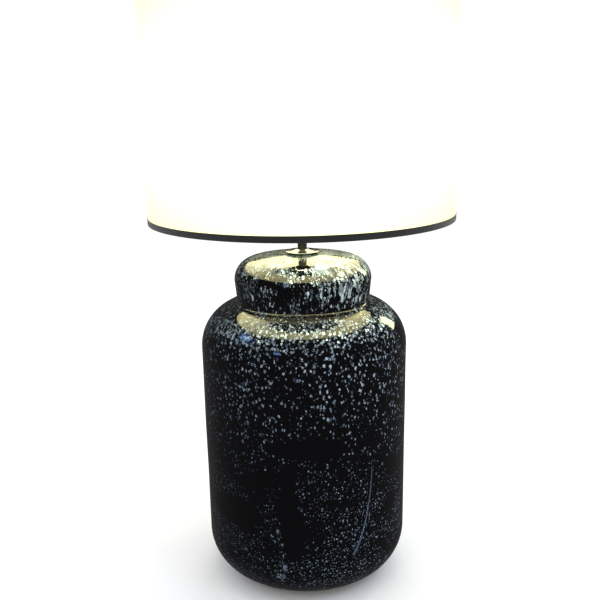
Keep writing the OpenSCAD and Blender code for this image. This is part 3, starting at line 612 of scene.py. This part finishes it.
    # painted light and shade: the leaf's colour is darker low down and on the left, and brighter on the
    # shoulder and lid, where the light falls
    rightward = addNode(tree, "ShaderNodeVectorMath", {0: outward, 1: (1, 0, 0)}, operation="DOT_PRODUCT")
    paintedSideShade = addNode(tree, "ShaderNodeMapRange", {"Value": rightward.outputs["Value"], "From Min": -0.9,
        "From Max": 0.4, "To Min": 0.27, "To Max": 1.0})
    # painted light: brighter over the shoulder and lid, painted shade towards the foot
    paintedHeightLight = addNode(tree, "ShaderNodeMapRange", {"Value": share, "From Min": 0.35, "From Max": 0.66,
        "To Min": 0.5, "To Max": 1.3})
    paintedLightAndShade = addNode(tree, "ShaderNodeMath", {0: paintedSideShade, 1: paintedHeightLight}, operation="MULTIPLY")
    spread = addNode(tree, "ShaderNodeMath", {0: tone, 1: 1.1}, operation="POWER")
    brightness = addNode(tree, "ShaderNodeMath", {0: spread, 1: paintedLightAndShade}, operation="MULTIPLY")
    foil = addNode(tree, "ShaderNodeMix", {0: brightness, 6: hexToLinear(leaf["dim"]),
        7: hexToLinear(leaf["bright"])}, data_type="RGBA")
    colour = addNode(tree, "ShaderNodeMix", {0: split, 6: hexToLinear(leaf["black"]), 7: foil.outputs[2]},
        data_type="RGBA")
    tree.links.new(colour.outputs[2], shader.inputs["Base Color"])
    metal = addNode(tree, "ShaderNodeMath", {0: split, 1: 0.45}, operation="MULTIPLY")
    tree.links.new(metal.outputs[0], shader.inputs["Metallic"])
    dull = addNode(tree, "ShaderNodeMapRange", {"Value": split, "To Min": 0.03, "To Max": 0.34})
    tree.links.new(dull.outputs[0], shader.inputs["Roughness"])
    # each fleck lies at its own small angle, so some catch the light and some don't
    normal = addNode(tree, "ShaderNodeNewGeometry").outputs["Normal"]
    lean = addNode(tree, "ShaderNodeVectorMath", {0: tilt, 1: (0.5,) * 3}, operation="SUBTRACT")
    leaning = addNode(tree, "ShaderNodeVectorMath", {0: lean, "Scale": metal}, operation="SCALE")
    tipped = addNode(tree, "ShaderNodeVectorMath", {0: normal, 1: leaning}, operation="ADD")
    unit = addNode(tree, "ShaderNodeVectorMath", {0: tipped}, operation="NORMALIZE")
    tree.links.new(unit.outputs[0], shader.inputs["Normal"])
    return material


# Takes one object's shape out of a piece, for good
def cutAway(piece, cutter):
    cut = piece.modifiers.new("cut", "BOOLEAN")
    cut.object = cutter
    cut.operation = "DIFFERENCE"
    cut.solver = "EXACT"
    bpy.context.view_layer.update()
    result = bpy.data.meshes.new_from_object(piece.evaluated_get(bpy.context.evaluated_depsgraph_get()))
    piece.modifiers.remove(cut)
    piece.data = result
    bpy.data.objects.remove(cutter)


# The hole for the cord, drilled through the rear wall
def drillInlet(piece):
    drill = jar["inletHole"] * mm
    mesh = bpy.data.meshes.new("drill")
    shape = bmesh.new()
    bmesh.ops.create_cone(shape, cap_ends=True, segments=48, radius1=drill, radius2=drill, depth=0.06)
    shape.to_mesh(mesh)
    shape.free()
    cutter = bpy.data.objects.new("drill", mesh)
    scene.collection.objects.link(cutter)
    centre = (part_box("cord_grommet")[0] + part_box("cord_grommet")[1]) / 2
    cutter.location = (0, centre.y, centre.z)
    cutter.rotation_euler = (math.pi / 2, 0, 0)
    cutAway(piece, cutter)


def makeGlassBody():
    outline = jarOutline(0) + jarOutline(jar["wall"])[::-1]
    body = turned("jarBody", outline, leafGlassMaterial(), steps=192, smooth=40, shift=blownShift)
    drillInlet(body)
    finishPiece(body, "base", "black_glass", "glass_body")


# ---- disc, stem, grommet and foot

def makeDisc():
    z, r, wide = low("top_disc"), radius("top_disc"), radius("stem_sleeve")
    profile = (
        [(radius("centre_pipe") + 0.05, z), (r - 0.6, z)]
        + arc(r - 0.6, z + 0.6, 0.6, -90, 90, 8)
        + [(r - 3, z + 1.35), (r - 6, z + 1.5), (wide + 4.4, z + 1.85), (wide + 3, z + 2.35)]
        + [(wide + 2.2, z + 2.9)]
        + [(wide + 1.4, z + 3.15), (wide + 0.6, z + 3.2), (radius("centre_pipe") + 0.05, z + 3.2)]
    )
    disc = turned("topDisc", profile, discSteel, steps=128, smooth=50)
    finishPiece(disc, "base", "polished_steel", "top_disc")


def makeStem():
    r, inner = radius("stem_sleeve"), radius("centre_pipe") + 0.05
    stem = turned("stemSleeve", softened([(inner, low("stem_sleeve")), (r, low("stem_sleeve")), (r,
        top("stem_sleeve")), (inner, top("stem_sleeve"))], 0.15), powderCoat, steps=64)
    finishPiece(stem, "base", "black_paint", "stem_sleeve")


def makeFoot():
    r, t = radius("felt_foot"), top("felt_foot")
    outline = [(0, 0)] + [(r * k / 8, 0) for k in range(1, 8)] + [(r - 0.3, 0), (r, 0.6), (r, t - 0.4),
        (r - 0.3, t)]
    outline += [(r * k / 8, t) for k in range(7, 0, -1)] + [(0, t)]
    foot = turned("feltFoot", outline, felt, steps=128, closed=False)
    finishPiece(foot, "base", "felt", "felt_foot")


# ---- lampholder

holder = {"wall": 2, "ribs": 36, "ribR": 0.55, "threadPitch": 2.5, "threadDepth": 0.5}


# Ribs stand in a ring on the grip, as Geometry Nodes instances on the points of a circle
def ribRing(tree, given):
    circle = addNode(tree, "GeometryNodeMeshCircle", {"Vertices": given["Count"],
        "Radius": given["Ring radius"]})
    rib = addNode(tree, "GeometryNodeMeshCylinder", {"Vertices": 12, "Radius": given["Rib radius"],
        "Depth": given["Rib height"]}, fill_type="TRIANGLE_FAN")
    placed = addNode(tree, "GeometryNodeInstanceOnPoints", {"Points": circle,
        "Instance": rib.outputs["Mesh"]})
    lift = addNode(tree, "ShaderNodeCombineXYZ", {"Z": given["Middle height"]})
    return addNode(tree, "GeometryNodeTransform", {"Geometry": placed, "Translation": lift})


def helix(z0, z1, pitch, depth, inner=0.0):
    def shift(r, z, a):
        if z < z0 or z > z1 or r < inner:
            return 0.0
        fade = min(1.0, (z - z0) / pitch, (z1 - z) / pitch)
        return depth * fade * math.cos(2 * math.pi * z / pitch - a)
    return shift


def threadRows(r, z0, z1, pitch):
    count = int((z1 - z0) / pitch * 10)
    return [(r, z0 + (z1 - z0) * k / count) for k in range(count + 1)]


def makeHolder():
    pipe = radius("centre_pipe") + 0.05
    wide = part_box("holder_cover")[1].y / mm
    z0, z1 = low("holder_cover"), top("holder_cover")
    wall = holder["wall"]
    neck = radius("centre_pipe") + 4
    dome = wide - neck
    bottom = z1 - (z1 - z0 - 5 - dome * math.sin(math.radians(68)))
    outline = [(pipe, z0), (neck - 0.8, z0), (neck, z0 + 0.8), (neck, z0 + 4.2)]
    outline += arc(neck, bottom, dome, -68, 0, 18)
    outline += [(wide, z1 - 0.3), (wide - 0.3, z1), (wide - wall, z1), (wide - wall, bottom)]
    outline += [(neck + 1, z0 + 4), (pipe, z0 + 4)]
    cover = turned("holderCover", outline, phenolic, steps=96)
    cutSlot(cover)
    finishPiece(cover, "base", "black_plastic", "holder_cover")

    shellZ, shellTop = low("holder_shell"), top("holder_shell")
    flangeR = radius("holder_shell")
    gripTop = low("shade_carrier") - 2.25
    crest = flangeR - 5.0
    mouth = radius("bulb_cap") + 1.4
    outline = softened([(wide - wall - 0.5, shellZ), (wide, shellZ), (wide, gripTop), (flangeR, gripTop),
        (flangeR, gripTop + 2.2), (crest - holder["threadDepth"] / 2, gripTop + 2.2)], 0.5)[3:-3]
    outline += threadRows(crest - holder["threadDepth"] / 2, gripTop + 2.6, shellTop - 1.2,
        holder["threadPitch"])
    outline += [(crest - 0.6, shellTop - 0.5), (crest - 1.2, shellTop), (mouth + 0.5, shellTop), (mouth,
        shellTop - 0.5)]
    outline += [(mouth, shellTop - 5), (wide - wall - 0.5, shellTop - 5)]
    shell = turned("holderShell", outline, phenolic, steps=128, shift=helix(gripTop + 2.5, shellTop - 1.1,
        holder["threadPitch"], holder["threadDepth"] / 2, crest - 0.6))
    finishPiece(shell, "base", "black_plastic", "holder_shell")
    ribs = grown("gripRibs", ribRing, {
        "Count": holder["ribs"], "Ring radius": (wide - 0.12) * mm, "Rib radius": holder["ribR"] * mm,
        "Rib height": (gripTop - shellZ - 3) * mm, "Middle height": (shellZ + gripTop) / 2 * mm}, phenolic)
    finishPiece(ribs, "base", "black_plastic")


# The slot for the push bar, open through both sides of the cover
def cutSlot(piece):
    start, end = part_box("switch_bar")
    gap = Vector((10, 0.3, 0.3)) * mm
    cutAway(piece, roundedBox("slot", start - gap, end + gap, 0.0004, phenolic))


def makeSwitchBar():
    start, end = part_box("switch_bar")
    bar = roundedBox("switchBar", start, end, 0.0018, phenolic)
    finishPiece(bar, "switch", "black_plastic", "switch_bar")


def makeClampRing():
    r, z0, z1 = radius("shade_ring"), low("shade_ring"), top("shade_ring")
    inner = radius("holder_shell") - 5.0 - holder["threadDepth"] / 2 + 0.25
    outline = softened([(r, z0), (r, z1), (inner + 0.6, z1)], 1.0)[:10]
    outline += threadRows(inner, z0 + 0.4, z1 - 0.4, holder["threadPitch"])[::-1]
    outline += [(inner + 0.5, z0), (r - 1, z0)]

    # the thread inside, and grooves for the fingers outside
    def shift(here, z, a):
        if here < inner + 0.3:
            fade = min(1.0, (z - z0) / 1.0, (z1 - z) / 1.0)
            return holder["threadDepth"] / 2 * fade * math.cos(2 * math.pi * z / holder["threadPitch"] - a)
        if here > r - 1.5:
            return -0.9 * max(0.0, math.cos(24 * a)) ** 3
        return 0.0
    ring = turned("clampRing", outline, phenolic, steps=384, shift=shift)
    finishPiece(ring, "clamp_ring", "black_plastic", "shade_ring")


# ---- bulb

bulb = {"capR": 12.6, "neckR": 11.9, "wall": 0.8, "globeR": 30, "joinDeg": 40, "pitch": 3.63, "thread": 0.5,
    "rods": 4}


def bulbOutline(inset):
    z0 = low("bulb_globe")
    globeZ = top("bulb_globe") - bulb["globeR"]
    joinR = bulb["globeR"] * math.cos(math.radians(bulb["joinDeg"]))
    joinZ = globeZ - bulb["globeR"] * math.sin(math.radians(bulb["joinDeg"]))
    neck = bulb["neckR"]
    power = math.tan(math.radians(bulb["joinDeg"])) * (joinZ - z0) / (joinR - neck)
    rise = [(neck - inset + (joinR - neck) * (t / 20) ** power, z0 + inset + (joinZ - z0 - inset) * t / 20)
            for t in range(20)]
    return [(0, z0 + inset)] + rise + arc(0, globeZ, bulb["globeR"] - inset, -bulb["joinDeg"], 89, 40) \
        + [(0, globeZ + bulb["globeR"] - inset)]


# clear thin glass: only its highlights and its edges show
def bulbGlassMaterial():
    material, tree, shader = newMaterial("Soda-lime glass, clear blown", "#fbfdfa", IOR=1.46,
        Transmission_Weight=1.0)
    place = addNode(tree, "ShaderNodeTexCoord").outputs["Object"]
    ripple = addNode(tree, "ShaderNodeTexNoise", {"Vector": place, "Scale": 60.0, "Detail": 2.0})
    rough = addNode(tree, "ShaderNodeMapRange", {"Value": ripple.outputs[0], "To Min": 0.0, "To Max": 0.02})
    tree.links.new(rough.outputs[0], shader.inputs["Roughness"])
    bump = addNode(tree, "ShaderNodeBump", {"Height": ripple.outputs[0], "Strength": 0.2,
        "Distance": 0.0003})
    tree.links.new(bump.outputs[0], shader.inputs["Normal"])
    return material


# yellow phosphor over the diodes: glows warm, with small brighter beads along each rod
def lightRodMaterial():
    material, tree, shader = newMaterial("Glass rod, phosphor-coated and lit", "#ffce5a", Roughness=0.5,
                                         Emission_Strength=22.0)
    place = addNode(tree, "ShaderNodeTexCoord").outputs["Object"]
    beads = addNode(tree, "ShaderNodeTexWave", {"Vector": place, "Scale": 150.0}, bands_direction="Z")
    colour = addNode(tree, "ShaderNodeMix", {0: beads.outputs["Fac"], 6: hexToLinear("#ffc46a"),
        7: hexToLinear("#fff0c8")}, data_type="RGBA")
    tree.links.new(colour.outputs[2], shader.inputs["Emission Color"])
    return material


def makeBulb():
    glass = bulbGlassMaterial()
    globe = turned("bulbGlobe", bulbOutline(0) + bulbOutline(bulb["wall"])[::-1], glass, steps=96,
        closed=False)
    globe.visible_shadow = False
    finishPiece(globe, "bulb", "clear_glass", "bulb_globe")
    capR, z0, z1 = bulb["capR"], low("bulb_cap"), top("bulb_cap")
    threadTop = z1 - 2.6
    outline = [(capR - 1.4, z0), (capR - 0.5, z0 + 0.1)] + threadRows(capR, z0 + 0.4, threadTop - 0.5,
        bulb["pitch"])
    outline += [(capR + 0.3, threadTop), (capR + 0.6, threadTop + 0.8), (capR + 0.6, z1 - 0.2), (capR + 0.3,
        z1)]
    outline += [(bulb["neckR"] + 0.05, z1), (bulb["neckR"] - 0.4, threadTop), (capR - 1.4, threadTop - 1)]

    # ridges that stay clear of the socket's ridges as the bulb turns
    def ridged(r, z, a):
        if r < capR - 0.3 or z < z0 + 0.3 or z > threadTop - 0.4:
            return 0.0
        return bulb["thread"] * math.sin(2 * math.pi * (z - z0) / bulb["pitch"])
    cap = turned("bulbCap", outline, nickel, steps=96, shift=ridged)
    finishPiece(cap, "bulb", "nickel", "bulb_cap")
    mz, mt = low("bulb_mount"), top("bulb_mount")
    wide = radius("bulb_mount")
    mount = turned("bulbMount", [(0, mz), (wide, mz), (wide, mz + 0.8), (wide * 0.8, mz + 2.4), (wide * 0.5,
        mz + 6), (3.0, mz + 9.5), (2.2, mz + 13), (2.2, mt - 0.5), (1.7, mt), (0, mt)], glass, steps=48,
        closed=False)
    mount.visible_shadow = False
    finishPiece(mount, "bulb", "clear_glass", "bulb_mount")
    rodLow, rodHigh = low("bulb_rods") + 0.8, top("bulb_rods") - 0.8
    paths = []
    for k in range(bulb["rods"]):
        a = math.radians(45 + 360 * k / bulb["rods"])
        paths.append([Vector((6 * math.cos(a), 6 * math.sin(a), rodLow)).lerp(
            Vector((9.5 * math.cos(a), 9.5 * math.sin(a), rodHigh)), t / 8) for t in range(9)])
    rods = wires("lightRods", paths, 1.0, lightRodMaterial(), 16)
    finishPiece(rods, "bulb", "light_rod", "bulb_rods")
    data = bpy.data.lights.new("bulbLight", "POINT")
    data.energy = lit["power"]
    data.color = hexToLinear(lit["colour"])[:3]
    data.shadow_soft_size = 0.02
    glowing = bpy.data.objects.new("bulbLight", data)
    scene.collection.objects.link(glowing)
    glowing.location = (0, 0, (rodLow + rodHigh) / 2 * mm)


# ---- shade

lit = {
    "power": 2.0, "colour": "#fffbd2", "bulbHeight": 0.56,
    "cloth": "#8f8460", "outer": (1.0, 0.985, 0.5), "outerGlow": 2.9,
    "film": "#efe9d2", "inner": (1.0, 0.98, 0.52), "innerGlow": 1.15,
}
weave = {"gap": 1.2, "slub": 0.16, "lap": 12.0, "steps": 256, "rows": 20}


# Cream linen lit from behind, nearly white where the bulb is close and cream towards its
# edges. The threads are drawn 1.2 mm apart, about twice the real gap, so that they read.
def litCloth(name, base, colour, glow, threads):
    material, tree, shader = newMaterial(name, base, Roughness=0.9, Sheen_Weight=0.05,
                                         Emission_Strength=glow)
    place = addNode(tree, "ShaderNodeTexCoord").outputs["Object"]
    parts = addNode(tree, "ShaderNodeSeparateXYZ", {0: place})
    angle = addNode(tree, "ShaderNodeMath", {0: parts.outputs["Y"], 1: parts.outputs["X"]},
        operation="ARCTAN2")
    reach = addNode(tree, "ShaderNodeMath", {0: angle, 1: radius("shade_fabric") * mm},
        operation="MULTIPLY")
    flat = addNode(tree, "ShaderNodeCombineXYZ", {"X": reach, "Y": parts.outputs["Z"]})
    weft = addNode(tree, "ShaderNodeTexWave", {"Vector": flat, "Scale": 0.314 / (weave["gap"] * mm),
        "Distortion": 1.2, "Detail": 2.0}, bands_direction="Y")
    warp = addNode(tree, "ShaderNodeTexWave", {"Vector": flat, "Scale": 0.314 / (weave["gap"] * mm),
        "Distortion": 0.8, "Detail": 1.0}, bands_direction="X")
    crossed = addNode(tree, "ShaderNodeMath", {0: weft.outputs["Fac"], 1: warp.outputs["Fac"]},
        operation="MULTIPLY")
    longWise = addNode(tree, "ShaderNodeVectorMath", {0: flat, 1: (30.0, 700.0, 1.0)}, operation="MULTIPLY")
    slubs = addNode(tree, "ShaderNodeTexNoise", {"Vector": longWise, "Scale": 1.0, "Detail": 2.0})
    # on a wall beside the bulb the light falls off with the cube of the distance
    rise = addNode(tree, "ShaderNodeMath", {0: parts.outputs["Z"], 1: lit["bulbHeight"]},
        operation="SUBTRACT")
    square = addNode(tree, "ShaderNodeMath", {0: rise, 1: rise}, operation="MULTIPLY")
    wall = (radius("shade_fabric") * mm) ** 2
    span = addNode(tree, "ShaderNodeMath", {0: square, 1: wall}, operation="ADD")
    near = addNode(tree, "ShaderNodeMath", {0: wall, 1: span}, operation="DIVIDE")
    fall = addNode(tree, "ShaderNodeMath", {0: near, 1: 1.5}, operation="POWER")
    # painted shade: the glow is a little dimmer at the sides, which keeps the shade's outline cream
    across = addNode(tree, "ShaderNodeMath", {0: angle}, operation="SINE")
    sideways = addNode(tree, "ShaderNodeMath", {0: across, 1: across}, operation="MULTIPLY")
    sides = addNode(tree, "ShaderNodeMapRange", {"Value": sideways, "To Min": 0.68, "To Max": 1.0})
    slubby = addNode(tree, "ShaderNodeMath", {0: slubs.outputs["Fac"], 1: weave["slub"],
        2: 1 - weave["slub"] * 0.75}, operation="MULTIPLY_ADD")
    woven = addNode(tree, "ShaderNodeMath", {0: crossed, 1: threads, 2: slubby}, operation="MULTIPLY_ADD")
    dimmed = addNode(tree, "ShaderNodeMath", {0: fall, 1: woven}, operation="MULTIPLY")
    level = addNode(tree, "ShaderNodeMath", {0: dimmed, 1: sides}, operation="MULTIPLY")
    shine = addNode(tree, "ShaderNodeVectorMath", {0: colour, "Scale": level}, operation="SCALE")
    tree.links.new(shine.outputs[0], shader.inputs["Emission Color"])
    bump = addNode(tree, "ShaderNodeBump", {"Height": crossed, "Strength": 0.35, "Distance": 0.0004})
    tree.links.new(bump.outputs[0], shader.inputs["Normal"])
    tint = addNode(tree, "ShaderNodeMix", {0: slubs.outputs["Fac"], 6: hexToLinear(base),
        7: [c * 0.85 for c in hexToLinear(base)]}, data_type="RGBA")
    tree.links.new(tint.outputs[2], shader.inputs["Base Color"])
    return material


# The cloth goes once round from the back and laps over its own start
def makeCloth():
    outerR, innerR = radius("shade_fabric"), radius("shade_liner")
    z0, z1 = low("shade_fabric"), top("shade_fabric")
    steps, rows = weave["steps"], weave["rows"]
    lap = weave["lap"] / outerR
    points, faces = [], []
    for layer in (0, 1):
        for i in range(steps + 1):
            turn = (2 * math.pi + lap) * i / steps
            a = math.pi / 2 - lap / 2 + turn
            start = 1 - min(1.0, turn / lap)
            over = max(0.0, (turn - 2 * math.pi + lap * 0.6) / (lap * 0.6))
            r = innerR + 0.05 + (outerR - innerR - 0.1) * layer * (1 - 0.5 * (start > 0)) + 0.5 * min(1.0,
                over)
            for k in range(rows + 1):
                z = z0 + (z1 - z0) * k / rows
                points.append((r * math.cos(a) * mm, r * math.sin(a) * mm, z * mm))
    half = (steps + 1) * (rows + 1)

    def at(layer, i, k):
        return layer * half + i * (rows + 1) + k

    for i in range(steps):
        for k in range(rows):
            faces.append((at(1, i, k), at(1, i + 1, k), at(1, i + 1, k + 1), at(1, i, k + 1)))
            faces.append((at(0, i, k), at(0, i, k + 1), at(0, i + 1, k + 1), at(0, i + 1, k)))
        faces.append((at(0, i, 0), at(0, i + 1, 0), at(1, i + 1, 0), at(1, i, 0)))
        faces.append((at(0, i, rows), at(1, i, rows), at(1, i + 1, rows), at(0, i + 1, rows)))
    for k in range(rows):
        faces.append((at(0, 0, k), at(1, 0, k), at(1, 0, k + 1), at(0, 0, k + 1)))
        faces.append((at(0, steps, k), at(0, steps, k + 1), at(1, steps, k + 1), at(1, steps, k)))
    linen = litCloth("Linen, woven cream", lit["cloth"], lit["outer"], lit["outerGlow"], 0.2)
    cloth = makeObject("shadeCloth", points, faces, linen, 50)
    finishPiece(cloth, "shade", "cream_fabric", "shade_fabric")


# fine ribs across a black tape, with a soft cotton bloom
def tapeMaterial():
    material, tree, shader = newMaterial("Cotton grosgrain tape, black", "#121212", Roughness=0.85,
                                         Sheen_Weight=0.25, Sheen_Roughness=0.5)
    place = addNode(tree, "ShaderNodeTexCoord").outputs["Object"]
    parts = addNode(tree, "ShaderNodeSeparateXYZ", {0: place})
    angle = addNode(tree, "ShaderNodeMath", {0: parts.outputs["Y"], 1: parts.outputs["X"]},
        operation="ARCTAN2")
    along = addNode(tree, "ShaderNodeMath", {0: angle, 1: radius("shade_fabric")}, operation="MULTIPLY")
    ribs = addNode(tree, "ShaderNodeMath", {0: along, 1: 0.45}, operation="PINGPONG")
    fuzz = addNode(tree, "ShaderNodeTexNoise", {"Vector": place, "Scale": 900.0, "Detail": 3.0})
    shadeMix = addNode(tree, "ShaderNodeMath", {0: ribs, 1: 0.8, 2: fuzz.outputs[0]},
        operation="MULTIPLY_ADD")
    colour = addNode(tree, "ShaderNodeMix", {0: shadeMix, 6: hexToLinear("#0b0b0c"),
        7: hexToLinear("#222124")}, data_type="RGBA")
    tree.links.new(colour.outputs[2], shader.inputs["Base Color"])
    bump = addNode(tree, "ShaderNodeBump", {"Height": ribs, "Strength": 0.6, "Distance": 0.0003})
    tree.links.new(bump.outputs[0], shader.inputs["Normal"])
    return material


def makeTrim(name, node, material):
    outer = radius(node)
    cloth = radius("shade_fabric")
    z0, z1 = low(node), top(node)
    down = node == "bottom_trim"
    edge = z0 + 0.7 if down else z1 - 0.7
    sign = 1 if down else -1
    fold = radius("bottom_wire") - 4
    height = z1 - z0 - 0.7
    outline = [(outer - 0.25, edge - 0.7 * sign + 0.12 * sign), (outer, edge + 0.3 * sign)]
    outline += [(outer, edge + (height - 0.3) * sign), (outer - 0.25, edge + height * sign), (cloth,
        edge + height * sign)]
    outline += [(cloth, edge), (fold, edge), (fold, edge + 4.5 * sign), (fold - 0.7, edge + 4.5 * sign)]
    outline += [(fold - 0.7, edge - 0.3 * sign), (fold - 0.3, edge - 0.7 * sign)]
    if not down:
        outline = outline[::-1]
    tape = turned(name, softened(outline, 0.15, 2), material, steps=192, smooth=50)
    finishPiece(tape, "shade", "black_tape", node)


def ringWire(tree, given):
    rail = addNode(tree, "GeometryNodeCurvePrimitiveCircle", {"Resolution": 192,
        "Radius": given["Ring radius"]}, mode="RADIUS")
    section = addNode(tree, "GeometryNodeCurvePrimitiveCircle", {"Resolution": 16,
        "Radius": given["Wire radius"]}, mode="RADIUS")
    swept = addNode(tree, "GeometryNodeCurveToMesh", {"Curve": rail.outputs["Curve"],
        "Profile Curve": section.outputs["Curve"]})
    lift = addNode(tree, "ShaderNodeCombineXYZ", {"Z": given["Height"]})
    return addNode(tree, "GeometryNodeTransform", {"Geometry": swept, "Translation": lift})


def makeShadeFrame():
    for name, node in (("bottomWire", "bottom_wire"), ("topWire", "top_wire")):
        thick = (top(node) - low(node)) / 2
        wire = grown(name, ringWire, {"Ring radius": (radius(node) - thick) * mm, "Wire radius": thick * mm,
                                      "Height": (low(node) + thick) * mm}, whiteEpoxy)
        finishPiece(wire, "shade", "white_wire", node)
    r, z0, z1 = radius("shade_carrier"), low("shade_carrier"), top("shade_carrier")
    inner = radius("holder_shell") - 4.5
    carrier = turned("shadeCarrier", softened([(inner, z0), (r, z0), (r, z1), (inner, z1)], 0.5),
        whiteEpoxy, steps=96)
    finishPiece(carrier, "shade", "white_wire", "shade_carrier")
    ring = radius("bottom_wire") - 2
    wireZ = low("bottom_wire") + 2
    armR = 1.55
    inZ = z1 - armR - 0.25
    paths = []
    for degrees in (90, 210, 330):
        a = math.radians(degrees)
        spots = [(ring - 1.0, wireZ), (ring - 5.0, wireZ + 0.4), (ring * 0.62, wireZ + (inZ - wireZ) * 0.43),
                 (r + 12, inZ - 2.4), (r + 4, inZ - 0.6), (r - 1.0, inZ)]
        paths.append(smoothPath([(out * math.cos(a), out * math.sin(a), z) for out, z in spots]))
    arms = wires("shadeArms", paths, armR, whiteEpoxy)
    finishPiece(arms, "shade", "white_wire", "shade_arms")


makeCamera(cameraSetup)
makeLights(lightSetup)
makeFloor()
print("camera and light ready")
makeGlassBody()
print("glass body ready")
makeDisc()
makeStem()
makeFoot()
makeHolder()
makeSwitchBar()
makeClampRing()
print("stem and lampholder ready")
makeBulb()
print("bulb ready")
makeCloth()
grosgrain = tapeMaterial()
makeTrim("bottomTape", "bottom_trim", grosgrain)
makeTrim("topTape", "top_trim", grosgrain)
makeShadeFrame()
print("shade ready")

paint(["shade_liner"], litCloth("Styrene film, white lit", lit["film"], lit["inner"], lit["innerGlow"],
    0.04))
paint(["cord_grommet", "base_gasket", "neck_gasket"], rubber)
paint(["base_plate", "lock_washer", "centre_pipe", "grub_screw", "terminal_screws"], zinc)
paint(["base_nut", "cover_nut", "screw_socket", "centre_contact", "side_contact", "terminal_blocks",
       "fixed_contacts", "switch_bridge"], brass)
paint(["neck_bush"], nylon)
paint(["holder_core"], porcelain)
paint(["bulb_insulator"], phenolic)
paint(["bulb_tip", "bulb_leads"], nickel)
print("carried-over nodes painted")
